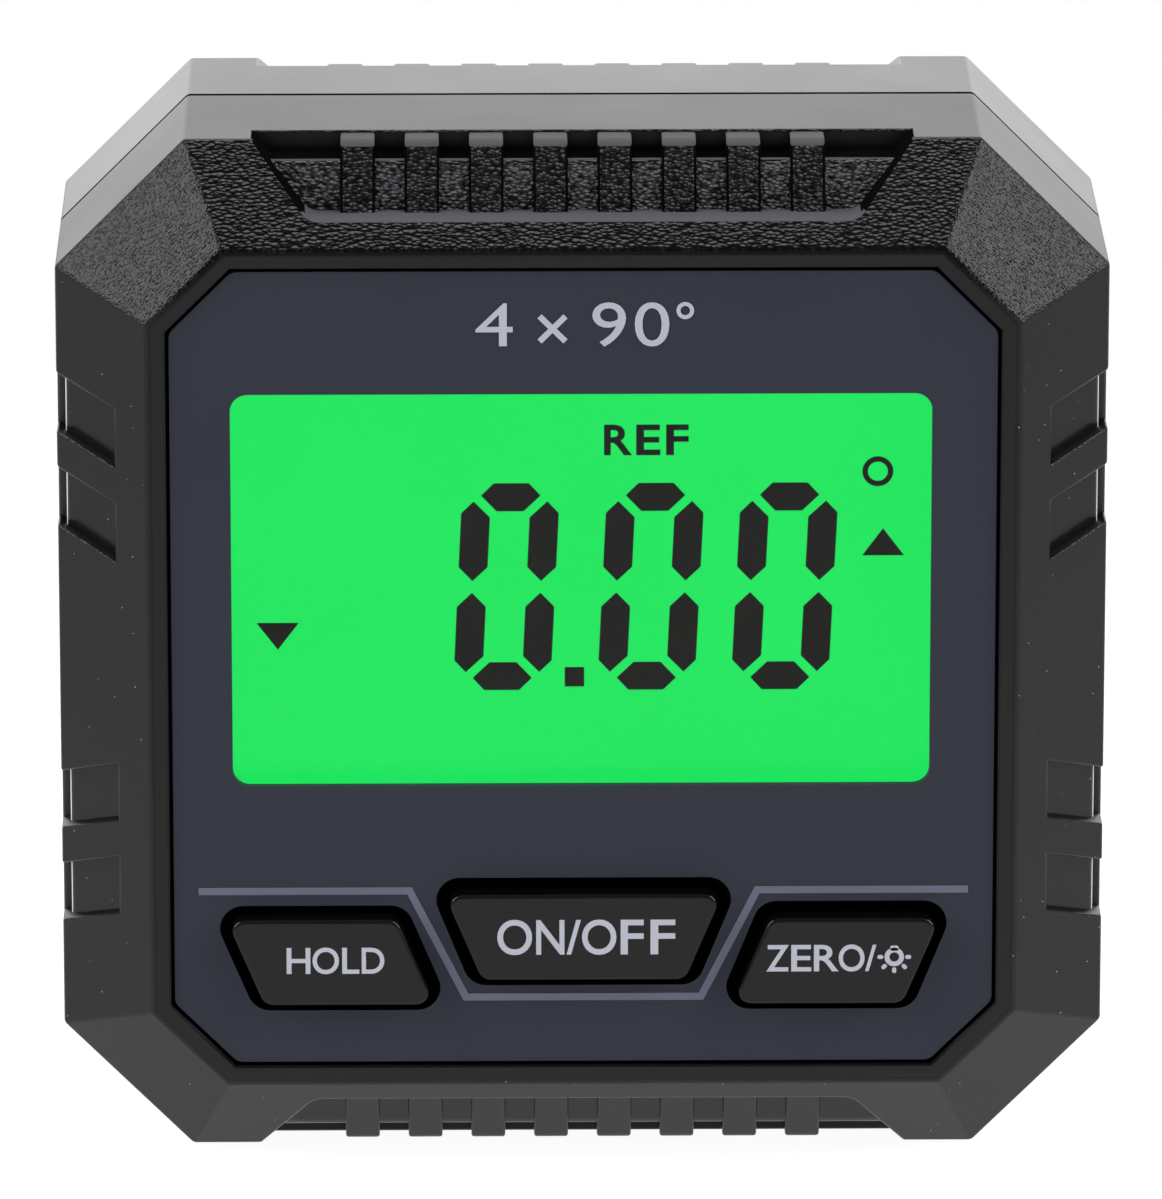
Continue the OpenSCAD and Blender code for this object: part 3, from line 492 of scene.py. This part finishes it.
def region(face, limits):
    """Names the part of a shell that a face belongs to, from its place and its slope."""
    (x, y, z), normal = face.calc_center_median() / MM, face.normal
    slope = sum(abs(normal.y) > limit for limit in limits)
    up = z - MID_Z
    in_grip = abs(x) < GRIP_X and abs(up) > GRIP_UP and abs(y) > GRIP_Y
    if shaded(x, y, up, normal):
        return "shade"
    if y < RIM_Y + RIM_DEEP and normal.y < -STRAIGHT:
        return "rim"
    small = notch_part(x, y, normal) or (in_grip and up > 0 and pocket_part(x, y, z, normal))
    if small:
        return small
    outward = normal.x * x + normal.z * up
    if slope not in (BEVEL, RIB, FLOOR) or outward < 1:
        return "smooth"
    if in_grip and slope != BEVEL:
        return {RIB: "rib", FLOOR: "floor"}[slope] if up > 0 else "rubbed"
    if slope == FLOOR:
        return "smooth"
    if normal.z > LEANING:
        return "corner" if abs(normal.x) > LEANING else "bevel"
    return "worn"


for node, limits in SLOPES.items():
    print(node, "slopes part at", limits)

# %% [markdown]
# ## Both shells
# The front shell carries the rim, the panel and the keys, the rear shell the battery tray, and the parting
# line runs between them. Each could be cut into one object per finish, but a shell is moulded in one go,
# so it stays one mesh with a material slot for every finish. Only the smooth faces differ between the two.

# %% Build both shells
EDGE_R = 0.15
SMOOTH = {"front_shell": satin_abs, "rear_shell": rear_abs}
FINISHES = {
    "smooth": satin_abs, "bevel": grained_abs, "corner": corner_abs, "rib": rib_abs, "floor": floor_abs,
    "worn": worn_abs, "rubbed": rubbed_abs, "shade": shade_abs, "ledge": ledge_painted_light_abs, "cap": rib_cap_painted_highlight_abs,
    "notch": notch_end_painted_light_abs, "edge": notch_edge_painted_glint_abs, "rim": rim_painted_light_abs,
}
for node, limits in SLOPES.items():
    bm, count = softened(node, EDGE_R)
    for face in bm.faces:
        face.material_index = list(FINISHES).index(region(face, limits))
    finishes = {**FINISHES, "smooth": SMOOTH[node]}
    shell = piece(node + "_moulded", bm, "housing", *finishes.values())
    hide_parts(node)
    print(shell.name, count, "edges rounded,", len(shell.data.polygons), "faces")

# %% [markdown]
# ## Battery cover
# The cover is moulded from the same ABS and sits flush in the back, with a thumb latch. The thin dark line
# round it could be drawn, but the rounds on its own edges make that line by themselves.

# %% Battery cover
COVER_EDGE_R = 0.2
bm, count = softened("battery_cover", COVER_EDGE_R)
cover = piece("battery_cover_moulded", bm, "cover", satin_abs)
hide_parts("battery_cover")
print(cover.name, count, "edges rounded")

# %% [markdown]
# ## The printed panel
# The panel is a thin sheet of polycarbonate, printed slate blue on its face, with a matt hard coat. It
# could be cut anew from an outline, but the CAD plate has the right shape. A merged copy of it gets the
# print. Its window and its key openings are trimmed by up to about a quarter of a millimetre, to where the
# print ends in the photograph. The cut edges in the narrow gaps round the keys stay black.

# %% Openings of the panel
KEY_H, KEY_LEAN = 6.3, 0.42
# Each key's middle across and up, its width, and the way that its left and right sides lean
KEYS = {
    "hold": (-14.5, -17.2, 11.05, -1, -1),
    "power": (0.0, -15.72, 15.1, -1, 1),
    "zero": (14.5, -17.2, 11.05, 1, 1),
}
# How far each opening is trimmed at its left, its right and its top
TRIM_KEYS = {"hold": (0.17, 0.12, 0.0), "power": (0.24, 0.27, 0.17), "zero": (0.12, 0.17, 0.2)}
# A box round the window, and how far its outline moves
WINDOW_X, WINDOW_LOW, WINDOW_HIGH = 20.0, -7.0, 16.5
TRIM_LEFT, TRIM_DOWN = 0.13, 0.11


def over_key(x, up, middle, height, width, left, right):
    """True on or inside a key opening: across and above the middle of the face, in mm."""
    lean = KEY_LEAN * (up - height)
    inside = left * lean - NEAR < x - middle + width / 2 and x - middle - width / 2 < right * lean + NEAR
    return inside and abs(up - height) < KEY_H / 2 + NEAR


def trimmed(x, up):
    """Where a corner of the panel's window or of an opening moves to, in mm."""
    for name, shape in KEYS.items():
        if over_key(x, up, *shape):
            middle, height = shape[:2]
            left, right, top = TRIM_KEYS[name]
            return x + (right if x > middle else -left), up + (top if up > height else 0.0)
    if abs(x) < WINDOW_X and WINDOW_LOW < up < WINDOW_HIGH:
        return x - TRIM_LEFT, up - (TRIM_DOWN if up < 0 else 0.0)
    return x, up


print(len(KEYS), "key openings,", KEY_H, "mm high")

# %% Build the panel
slate_film = moulded(
    "polycarbonate_slate_print", ("#363944", "#3A3D48"), (0.42, 0.5), grain=0.08, depth=0.002,
    sockets={"Specular IOR Level": 0.08},
)
bm = merged("face_panel")
for vert in bm.verts:
    x, up = trimmed(vert.co.x / MM, vert.co.z / MM - MID_Z)
    vert.co.x, vert.co.z = x * MM, (MID_Z + up) * MM
# The cut edges by the keys get the painted shade
for face in bm.faces:
    by_key = face.calc_center_median().z < (MID_Z + WINDOW_LOW) * MM
    face.material_index = 1 if by_key and abs(face.normal.y) < PARTLY else 0
panel = piece("face_panel_printed", bm, "housing", slate_film, shade_abs)
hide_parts("face_panel")
print(panel.name, len(panel.data.polygons), "faces")

# %% [markdown]
# ## Keys
# A key is a moulded cap with a soft edge that stands 0.8 mm above the rim, on a flange that keeps it in.
# The CAD key could be rounded like the shells, but a soft edge needs an even band of faces. So each
# outline starts as four corners. Their vertices are bevelled into round corners, the face is extruded to
# its depth, and the front edge is bevelled last.

# %% Plates with round corners
def at(x, depth, z):
    """A place on the face: across, behind the rim, and above the middle, in mm, as metres."""
    return Vector((x * MM, (RIM_Y + depth) * MM, (MID_Z + z) * MM))


def slab(bm, corners, radius, front, back):
    """A plate between two depths, with its corners rounded to that radius in mm."""
    face = bm.faces.new([bm.verts.new(at(x, back, z)) for x, z in corners])
    for vert in list(face.verts):
        tangent = radius * MM * math.tan(vert.calc_edge_angle() / 2)
        bmesh.ops.bevel(
            bm, geom=[vert], offset=tangent, offset_type="OFFSET", segments=8, profile=0.5,
            affect="VERTICES", clamp_overlap=True, material=-1,
        )
    face = next(f for f in bm.faces if abs(f.calc_center_median().y - at(0, back, 0).y) < NEAR * MM)
    grown = bmesh.ops.extrude_face_region(bm, geom=[face])["geom"]
    verts = [v for v in grown if isinstance(v, bmesh.types.BMVert)]
    bmesh.ops.translate(bm, verts=verts, vec=(0, (front - back) * MM, 0))
    return [e for e in grown if isinstance(e, bmesh.types.BMEdge)]


print("middle of the face at", [round(c / MM, 1) for c in at(0, 0, 0)], "mm")

# %% Key outlines
KEY_GAP = 0.55


def key_corners(x, z, width, left, right, grow):
    """The four corners of a key's outline, moved out by that distance on every side."""
    high = KEY_H / 2 + grow
    wide = width / 2 + grow * math.hypot(1, KEY_LEAN)
    left, right = left * KEY_LEAN * high, right * KEY_LEAN * high
    return [(x - wide + left, z + high), (x - wide - left, z - high),
            (x + wide - right, z - high), (x + wide + right, z + high)]


for name, shape in KEYS.items():
    print(name, [tuple(round(c, 1) for c in corner) for corner in key_corners(*shape, -KEY_GAP)])

# %% Build the keys
KEY_R, KEY_EDGE, KEY_TOP, KEY_BACK = 1.35, 0.28, -0.77, 2.5
FLANGE_W, FLANGE_FRONT, FLANGE_BACK = 0.6, 2.4, 3.1
# Faces that lie this deep, or that look no more than this to the front, are in shade
SUNK, SIDEWAYS = 2.0, 0.6
key_abs = moulded("abs_key_matt", ("#151515", "#191919"), (0.16, 0.2), grain=0.1, depth=0.001, sockets=SATIN)
for name, shape in KEYS.items():
    bm = bmesh.new()
    edge = slab(bm, key_corners(*shape, -KEY_GAP), KEY_R - KEY_GAP, KEY_TOP, KEY_BACK)
    rounded(bm, edge, KEY_EDGE, segments=5)
    flange = bmesh.new()
    slab(flange, key_corners(*shape, FLANGE_W), KEY_R, FLANGE_FRONT, FLANGE_BACK)
    loose = bpy.data.meshes.new("flange")
    flange.to_mesh(loose)
    flange.free()
    bm.from_mesh(loose)
    bpy.data.meshes.remove(loose)
    bmesh.ops.recalc_face_normals(bm, faces=bm.faces)
    for face in bm.faces:
        sunk = face.calc_center_median().y > at(0, SUNK, 0).y
        face.material_index = 1 if sunk or abs(face.normal.y) < SIDEWAYS else 0
    key = piece(f"key_{name}_cap", bm, f"{name}_key", key_abs, shade_abs)
    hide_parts(f"key_{name}")
    print(key.name, len(key.data.polygons), "faces")

# %% [markdown]
# ## Print
# Legends and lines are pad printed, a few hundredths of a millimetre of pale ink. A picture on the panel
# would blur close up, so they are shapes. They are drawn flat, in millimetres on the face, then given the
# ink's thickness and set on the surface that carries them. Letters come from Blender's own font, one by
# one, each fitted to the box that it takes on the face.

# %% Letters
FONT_STEPS = 6


def sign(bm, text, left, right, low, high, weight=0.0):
    """Characters of the built-in font, stretched to fill a box on the face."""
    curve = bpy.data.curves.new("sign", "FONT")
    curve.body, curve.offset, curve.resolution_u = text, weight, FONT_STEPS
    holder = bpy.data.objects.new("sign", curve)
    bpy.context.scene.collection.objects.link(holder)
    flat = bpy.data.meshes.new_from_object(holder.evaluated_get(bpy.context.evaluated_depsgraph_get()))
    bpy.data.objects.remove(holder)
    bpy.data.curves.remove(curve)
    points = [v.co for v in flat.vertices]
    start = Vector([min(p[i] for p in points) for i in (0, 1)])
    size = Vector([max(p[i] for p in points) for i in (0, 1)]) - start
    wide, tall = (right - left) / size.x, (high - low) / size.y
    flat.transform(Matrix.Translation((left, low, 0)) @ Matrix.Diagonal((wide, tall, 1, 1))
                   @ Matrix.Translation((-start.x, -start.y, 0)))
    bm.from_mesh(flat)
    bpy.data.meshes.remove(flat)


print("letters with", FONT_STEPS, "steps to a curve")

# %% Flat shapes
RING_SIDES = 40
# Nearly half of the width, so that the ends of a stroke are round
ROUND_END = 0.45


def outline(bm, points):
    """A flat shape from its corners."""
    bm.faces.new([bm.verts.new((x, z, 0)) for x, z in points])


def ring(bm, x, z, outer, inner):
    """A flat ring: a disc, inset, with the middle taken out."""
    round_edge = bmesh.ops.create_circle(
        bm, cap_ends=True, segments=RING_SIDES, radius=outer, matrix=Matrix.Translation((x, z, 0)),
    )["verts"]
    disc = next(iter(round_edge[0].link_faces))
    bmesh.ops.inset_individual(bm, faces=[disc], thickness=outer - inner)
    bmesh.ops.delete(bm, geom=[disc], context="FACES_ONLY")


def dash(bm, x, z, length, width, angle):
    """A short stroke with round ends, turned by that angle in degrees."""
    turn = Matrix.Rotation(math.radians(angle), 4, "Z")
    made = bmesh.ops.create_grid(
        bm, x_segments=1, y_segments=1, size=0.5,
        matrix=Matrix.Translation((x, z, 0)) @ turn @ Matrix.Diagonal((length, width, 1, 1)),
    )["verts"]
    bmesh.ops.bevel(
        bm, geom=made, offset=width * ROUND_END, offset_type="OFFSET", segments=4, profile=0.5,
        affect="VERTICES", clamp_overlap=True, material=-1,
    )


print("rings of", RING_SIDES, "sides")

# %% Lay the print on the face
INK = 0.03
TO_FACE = Matrix((
    (MM, 0, 0, 0), (0, 0, -MM, RIM_Y * MM), (0, MM, 0, MID_Z * MM), (0, 0, 0, 1),
))


def lay(name, bm, body, depth, thickness, finish_used):
    """Gives flat shapes a thickness and sets them on the surface at that depth."""
    grown = bmesh.ops.extrude_face_region(bm, geom=bm.faces[:])["geom"]
    verts = [v for v in grown if isinstance(v, bmesh.types.BMVert)]
    bmesh.ops.translate(bm, verts=verts, vec=(0, 0, thickness))
    bmesh.ops.recalc_face_normals(bm, faces=bm.faces)
    bmesh.ops.transform(bm, matrix=TO_FACE @ Matrix.Translation((0, 0, -depth)), verts=bm.verts)
    made = piece(name, bm, body, finish_used)
    print(name, len(made.data.polygons), "faces")


print("ink", INK, "mm thick")

# %% [markdown]
# ## Key legends
# Each key carries its word in pale grey. The word could be one text object, but the real letters are
# spaced by hand, so every letter has its own box. A round letter reaches a little over the line, as a
# sign writer would draw it. The lamp sign is a ring with a base above it and five rays.

# %% Lamp sign
LAMP_X, LAMP_Z, BULB, BULB_HOLE = 17.81, -16.93, 0.56, 0.28
BASE_RISE, BASE_SIZE, RAY_SIZE = 0.53, (0.5, 0.3), (0.34, 0.24)
RAYS = ((180, 0.8), (0, 0.8), (225, 0.82), (315, 0.82), (270, 0.8))


def lamp_sign(bm):
    """A bulb with its base above and five rays round it."""
    ring(bm, LAMP_X, LAMP_Z, BULB, BULB_HOLE)
    dash(bm, LAMP_X, LAMP_Z + BASE_RISE, *BASE_SIZE, 0)
    for angle, away in RAYS:
        turn = math.radians(angle)
        dash(bm, LAMP_X + away * math.cos(turn), LAMP_Z + away * math.sin(turn), *RAY_SIZE, angle)


print("lamp sign with", len(RAYS), "rays")

# %% Key legends
pale_ink = moulded("ink_pale_grey", ("#BCBECB", "#C6C8D4"), (0.5, 0.6), grain=0.06, depth=0.003)
# Every letter with its left and right edge on the face
HOLD_BOXES = (("H", -17.02, -15.66), ("O", -15.54, -14.02), ("L", -13.84, -12.86), ("D", -12.72, -11.42))
POWER_BOXES = (("O", -4.95, -2.95), ("N", -2.72, -1.10), ("/", -0.98, -0.16), ("O", -0.10, 1.88),
               ("F", 2.12, 3.44), ("F", 3.83, 5.25))
ZERO_BOXES = (("Z", 10.48, 11.76), ("E", 11.90, 13.05), ("R", 13.20, 14.62), ("O", 14.62, 16.11),
              ("/", 16.14, 16.78))
LEGENDS = {
    "hold": (HOLD_BOXES, -17.83, -16.27),
    "power": (POWER_BOXES, -16.72, -14.64),
    "zero": (ZERO_BOXES, -17.78, -16.19),
}
STROKE, OVERSHOOT = 0.012, 0.02
for name, (boxes, low, high) in LEGENDS.items():
    bm = bmesh.new()
    for text, left, right in boxes:
        over = OVERSHOOT if text == "O" else 0.0
        sign(bm, text, left, right, low - over, high + over, STROKE)
    if name == "zero":
        lamp_sign(bm)
    lay(f"legend_{name}", bm, f"{name}_key", KEY_TOP, INK, pale_ink)

# %% [markdown]
# ## Panel print
# A slate grey line runs across the panel and dips round the middle key. It could be a curve with a
# thickness, but a strip with true mitred corners is a few lines: at each corner the two edge points lie
# on the line that halves the bend. Above the window stands the range, four quarters of a circle.

# %% Line round the keys
line_ink = moulded("ink_slate_grey", ("#62647A", "#686A7E"), (0.5, 0.6), grain=0.06, depth=0.003)
PANEL_FACE, LINE_W = 0.2, 0.43
LINE = [(-22.05, -13.17), (-9.96, -13.17), (-6.75, -19.57), (6.75, -19.57), (9.96, -13.17), (22.05, -13.17)]
bm = bmesh.new()
ends = None
for i, (x, z) in enumerate(LINE):
    here = Vector((x, z))
    before = (here - Vector(LINE[i - 1])).normalized() if i else None
    after = (Vector(LINE[i + 1]) - here).normalized() if i + 1 < len(LINE) else before
    before = before or after
    along = (before + after).normalized()
    across = Vector((-along.y, along.x)) * LINE_W / 2 / along.dot(after)
    pair = [bm.verts.new((*(here + s * across), 0)) for s in (1, -1)]
    if ends:
        bm.faces.new((ends[0], ends[1], pair[1], pair[0]))
    ends = pair
lay("panel_line", bm, "housing", PANEL_FACE, INK, line_ink)

# %% Range mark
RANGE_BOXES = (
    ("4", -6.1, -4.0, 19.1, 21.6), ("×", -2.6, -0.9, 19.25, 20.95),
    ("9", 0.5, 2.4, 19.06, 21.64), ("0", 2.9, 4.85, 19.06, 21.64),
)
# Across, up, outer and inner radius
DEGREE = (5.75, 21.15, 0.5, 0.27)
bm = bmesh.new()
for box in RANGE_BOXES:
    sign(bm, *box)
ring(bm, *DEGREE)
lay("panel_range_mark", bm, "housing", PANEL_FACE, INK, pale_ink)

# %% [markdown]
# ## The display
# The display glows green from a light guide behind it, and its segments block the light. On the real one
# they are liquid crystal between two glasses. Light through all those layers would be slow and noisy to
# render, so the front film glows by itself and the segments are thin dark shapes on it, which look the
# same from the front.

# %% Display finishes
GLOW_PATCH, CLEAR_PATCH = 14.0, 12.0
ACRYLIC_IOR = 1.49
lit_green, tree, shader = finish("polariser_film_backlit", {
    "Base Color": linear("#0A3A18"), "Roughness": 0.3, "Specular IOR Level": 0.1, "Emission Strength": 1.0,
})
place = add(tree, "TexCoord").outputs["Object"]
cloud = add(tree, "TexNoise", {"Vector": place, "Scale": 1 / (GLOW_PATCH * MM), "Detail": 1.0})
glow = add(tree, "Mix", {
    "Factor": cloud.outputs["Fac"], MIX_A: linear("#1AE15B"), MIX_B: linear("#20E763"),
}, data_type="RGBA")
tree.links.new(glow.outputs[MIX_OUT], shader.inputs["Emission Color"])

segment_black = moulded(
    "liquid_crystal_dark", ("#262826", "#2B2D2A"), (0.5, 0.6), grain=0.05, depth=0.001,
    sockets={**NO_GLOSS, "Emission Color": linear("#1B1719"), "Emission Strength": 1.0},
)
clear_acrylic, tree, shader = finish("acrylic_clear", {
    "IOR": ACRYLIC_IOR, "Transmission Weight": 1.0, "Specular Tint": linear("#303030"),
})
wear(tree, shader, ("#FFFFFF", "#FBFDFC"), (0.015, 0.03), CLEAR_PATCH)
print(lit_green.name, segment_black.name, clear_acrylic.name)

# %% Segments and marks
FILM, SEGMENT = 2.3, 0.02
DIGITS_X, DIGIT_Z, SLANT = (-4.37, 3.87, 11.50), 4.41, 0.047
# Corners of a digit's upper bar and of its upper left bar, from the middle of the digit
TOP_BAR = ((-1.69, 5.41), (-0.77, 4.48), (0.77, 4.48), (1.69, 5.41), (1.0, 6.13), (-1.0, 6.13))
SIDE_BAR = ((-2.10, 5.06), (-2.78, 4.36), (-2.78, 1.18), (-1.955, 0.35), (-1.13, 1.18), (-1.13, 4.11))
POINT = ((-1.05, -0.37), (-1.05, -1.52), (0.06, -1.52), (0.06, -0.37))
ARROW_UP = ((15.91, 6.22), (18.29, 6.22), (17.09, 7.82))
ARROW_DOWN = ((-18.64, 2.31), (-17.43, 0.72), (-16.23, 2.31))
DEGREE_MARK = (16.77, 11.19, 0.88, 0.57)
REF_BOXES = (("R", 1.19, 2.79), ("E", 3.02, 4.39), ("F", 4.72, 6.00))
REF_LOW, REF_HIGH, REF_STROKE = 12.18, 13.98, 0.022
bm = bmesh.new()
for centre in DIGITS_X:
    for up in (1, -1):
        outline(bm, [(centre + x + SLANT * up * z, DIGIT_Z + up * z) for x, z in TOP_BAR])
        for side in (1, -1):
            outline(bm, [(centre + side * x + SLANT * up * z, DIGIT_Z + up * z) for x, z in SIDE_BAR])
for mark in (POINT, ARROW_UP, ARROW_DOWN):
    outline(bm, mark)
ring(bm, *DEGREE_MARK)
for text, left, right in REF_BOXES:
    sign(bm, text, left, right, REF_LOW, REF_HIGH, REF_STROKE)
lay("display_segments", bm, "housing", FILM, SEGMENT, segment_black)

# %% [markdown]
# ## Finishes for the inner pieces
# What is inside shows when the battery cover is open or the shells are taken apart. One grey would do for
# a render of the closed gauge, but the pieces are also used apart from it. So each gets the finish of its
# real material: plated steel for contacts and screws, glass, films, laminate and so on. Plated metal is
# bright, with a gloss broken by the fine streaks of the rolling mill.

# %% Plated metal
STREAK_DEPTH, STREAK_STRETCH, METAL_PATCH = 0.004, 10, 3.0


def plated(name, colours, roughness, streak):
    """Plated metal: bright, with a gloss broken by rolling streaks of that length in mm."""
    made, tree, shader = finish(name, {"Metallic": 1.0})
    place = wear(tree, shader, colours, roughness, METAL_PATCH)
    along = add(tree, "Mapping", {"Vector": place, "Scale": (1 / STREAK_STRETCH, 1.0, 1.0)})
    line = add(tree, "TexNoise", {
        "Vector": along.outputs["Vector"], "Scale": STREAK_STRETCH / (streak * MM),
    })
    bump = add(tree, "Bump", {"Height": line.outputs["Fac"], "Distance": STREAK_DEPTH * MM})
    tree.links.new(bump.outputs["Normal"], shader.inputs["Normal"])
    return made


can = plated("steel_tin_plated", ("#BEBEBC", "#CBCBC9"), (0.25, 0.35), streak=2.0)
contact = plated("spring_steel_nickel_plated", ("#C2BFB8", "#D0CDC6"), (0.22, 0.34), streak=2.0)
zinc = plated("steel_zinc_plated", ("#A9ABB0", "#BABCC0"), (0.28, 0.4), streak=1.0)
nickel = plated("nickel_plated_magnet", ("#C9C5BC", "#D3CFC6"), (0.15, 0.25), streak=3.0)
print(can.name, contact.name, zinc.name, nickel.name)

# %% Glass, films and plastics
GLASS_IOR = 1.52
glass, tree, shader = finish("soda_lime_glass", {"IOR": GLASS_IOR, "Transmission Weight": 1.0})
wear(tree, shader, ("#E2F0E8", "#EAF4EE"), (0.02, 0.04), CLEAR_PATCH)
white_film = moulded("polyester_film_white", ("#E4E6E2", "#EEF0EC"), (0.45, 0.55), grain=0.2, depth=0.002)
guide = moulded("acrylic_green_tint", ("#7EDB8E", "#8FE79C"), (0.12, 0.2), grain=0.5, depth=0.003)
lamp = moulded("lamp_epoxy", ("#E3E8C8", "#EEF2D6"), (0.2, 0.3), grain=0.2, depth=0.002)
holder = moulded("abs_white", ("#DADCD8", "#E3E5E1"), (0.4, 0.5), grain=0.15, depth=0.004)
rubber = moulded("silicone_layered", ("#6E6E74", "#8A8A90"), (0.6, 0.7), grain=0.1, depth=0.01)
laminate = moulded("glass_epoxy_green_mask", ("#0C4A24", "#12602F"), (0.28, 0.36), grain=0.9, depth=0.012)
epoxy = moulded("epoxy_moulded_black", ("#1E1E20", "#262628"), (0.5, 0.6), grain=0.12, depth=0.006)
switch = moulded("nylon_black", ("#1C1C1D", "#232324"), (0.45, 0.55), grain=0.15, depth=0.005)
red_vinyl = moulded("vinyl_red", ("#A81818", "#BC2020"), (0.35, 0.45), grain=0.4, depth=0.004)
black_vinyl = moulded("vinyl_black", ("#161616", "#1E1E1E"), (0.35, 0.45), grain=0.4, depth=0.004)
sleeve = moulded("vinyl_sleeve_green", ("#2E5F41", "#356B4A"), (0.25, 0.33), grain=0.6, depth=0.003)
print(glass.name, white_film.name, laminate.name, sleeve.name)

# %% Finishes on the CAD nodes
BY_SLOT = {
    "lens_clear": clear_acrylic, "polariser_green": lit_green, "display_glass": glass,
    "film_white": white_film, "guide_green": guide, "lamp_body": lamp, "holder_white": holder,
    "strip_rubber": rubber, "board_laminate": laminate, "chip_epoxy": epoxy, "metal_can": can,
    "switch_plastic": switch, "cell_sleeve": sleeve, "contact_steel": contact, "lead_red": red_vinyl,
    "lead_black": black_vinyl, "screw_steel": zinc, "magnet_nickel": nickel, "panel_print": slate_film,
    "shell_plastic": satin_abs, "key_plastic": key_abs,
}
for part in frame["record"]["subparts"]:
    mesh = nodes[part["node"]].data
    mesh.materials.clear()
    mesh.materials.append(BY_SLOT[part["material_slot"]])

# %% [markdown]
# ## Cells
# A cell is a steel can in a shrunk plastic sleeve that leaves both ends bare. The sleeve could be a second
# thin tube, but it is so thin that two finishes on one mesh look the same. A merged copy of each CAD cell
# gets both: an end faces along the cell, and the button is thinner than the can.

# %% Cells in their sleeves
BUTTON_R = 3.0
for node in ("cell_upper", "cell_lower"):
    bm = merged(node)
    axis = sum((v.co for v in bm.verts), Vector()) / len(bm.verts)
    for face in bm.faces:
        away = face.calc_center_median() - axis
        bare = abs(face.normal.x) > NEARLY or math.hypot(away.y, away.z) < BUTTON_R * MM
        face.material_index = 1 if bare else 0
    cell = piece(node + "_sleeved", bm, "housing", sleeve, can)
    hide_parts(node)
    print(cell.name, sum(f.material_index for f in cell.data.polygons), "bare faces")

# %% [markdown]
# ## Floor
# The photograph is a plain product shot on white, where gauge and floor meet without a line. A white floor
# under lamps alone would grey out round the gauge. An opal light table, which glows by itself, stays
# white, and it lights the lower bevels from below as in the photograph. It glows less further out, so that
# the sides of the gauge don't mirror too much of it. Sizes of the stage are in metres.

# %% Floor
FLOOR_HALF, GLOW_FROM, GLOW_TO, GLOW_NEAR, GLOW_FAR = 3.0, 0.03, 0.22, 0.95, 0.73
bm = bmesh.new()
bmesh.ops.create_grid(bm, x_segments=1, y_segments=1, size=FLOOR_HALF)
floor_mesh = bpy.data.meshes.new("floor")
bm.to_mesh(floor_mesh)
bm.free()
floor = bpy.data.objects.new("floor", floor_mesh)
bpy.context.scene.collection.objects.link(floor)
table, tree, shader = finish("acrylic_opal_light_table", {
    "Base Color": linear("#707070"), "Roughness": 0.9, "Specular IOR Level": 0.0,
    "Emission Color": linear("#FFFFFF"),
})
place = add(tree, "TexCoord").outputs["Object"]
away = add(tree, "VectorMath", {0: place}, operation="LENGTH")
glow = add(tree, "MapRange", {
    "Value": away.outputs["Value"], "From Min": GLOW_FROM, "From Max": GLOW_TO,
    "To Min": GLOW_NEAR, "To Max": GLOW_FAR,
}, interpolation_type="SMOOTHSTEP")
tree.links.new(glow.outputs["Result"], shader.inputs["Emission Strength"])
floor_mesh.materials.append(table)
floor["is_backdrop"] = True
print(floor.name, "glows", GLOW_NEAR, "to", GLOW_FAR)

# %% [markdown]
# ## Light
# Black plastic shows its shape by what it mirrors, so the lights are large and soft. One hangs above, two
# stand left and right for the corners, and a bright wall behind the gauge gives the grey sheen on the top
# face. A picture of a studio could light the scene too, but four area lights can be set one by one.

# %% Lights
HEART = (0.0, 0.0, 0.03)


def softbox(name, place, size, power):
    """A rectangular area light that looks at the middle of the gauge."""
    data = bpy.data.lights.new(name, "AREA")
    data.shape = "RECTANGLE"
    data.size, data.size_y = size
    data.energy = power
    made = bpy.data.objects.new(name, data)
    bpy.context.scene.collection.objects.link(made)
    made.location = place
    made.rotation_mode = "QUATERNION"
    made.rotation_quaternion = (Vector(HEART) - Vector(place)).to_track_quat("-Z", "Y")
    print(name, power, "W")


softbox("light_above", (0.0, 0.35, 0.95), size=(0.7, 0.8), power=7.0)
softbox("light_left", (-0.8, -0.15, 0.55), size=(0.6, 0.8), power=9.0)
softbox("light_right", (0.8, -0.15, 0.55), size=(0.6, 0.8), power=9.0)
softbox("light_behind", (0.0, 1.0, 0.28), size=(2.2, 0.55), power=9.5)

# %% Surroundings
world = bpy.data.worlds.new("studio")
bpy.context.scene.world = world
world.use_nodes = True
world.node_tree.nodes["Background"].inputs["Color"].default_value = linear("#404040")
bpy.context.scene.view_settings.view_transform = "Standard"
print("world", world.name, "with the", bpy.context.scene.view_settings.view_transform, "view")

# %% [markdown]
# ## Camera
# The camera stands two thirds of a metre away with a long lens, a little above the box and a little to its
# left. A short lens close by would also fill the frame, but it would spread the bevels more than the
# photograph does.

# %% Camera
CAMERA_AT, CAMERA_AIM = (-7.234, -641.73, 215.70), (-0.13, -13.05, 33.90)
camera_data = bpy.data.cameras.new("camera")
camera_data.lens = 344.9
camera_data.sensor_width = 36.0
camera_data.clip_start, camera_data.clip_end = 0.05, 20.0
camera = bpy.data.objects.new("camera", camera_data)
bpy.context.scene.collection.objects.link(camera)
camera.location = Vector(CAMERA_AT) * MM
camera.rotation_mode = "QUATERNION"
camera.rotation_quaternion = (Vector(CAMERA_AIM) * MM - camera.location).to_track_quat("-Z", "Y")
bpy.context.scene.camera = camera
print("camera", [round(c, 3) for c in camera.location])

# %% [markdown]
# ## The size after dressing
# The looks must not change the size of the part, so both boxes are printed.

# %% Finish
low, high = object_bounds()
print("dressed box", [round(s / MM, 1) for s in high - low], "mm")
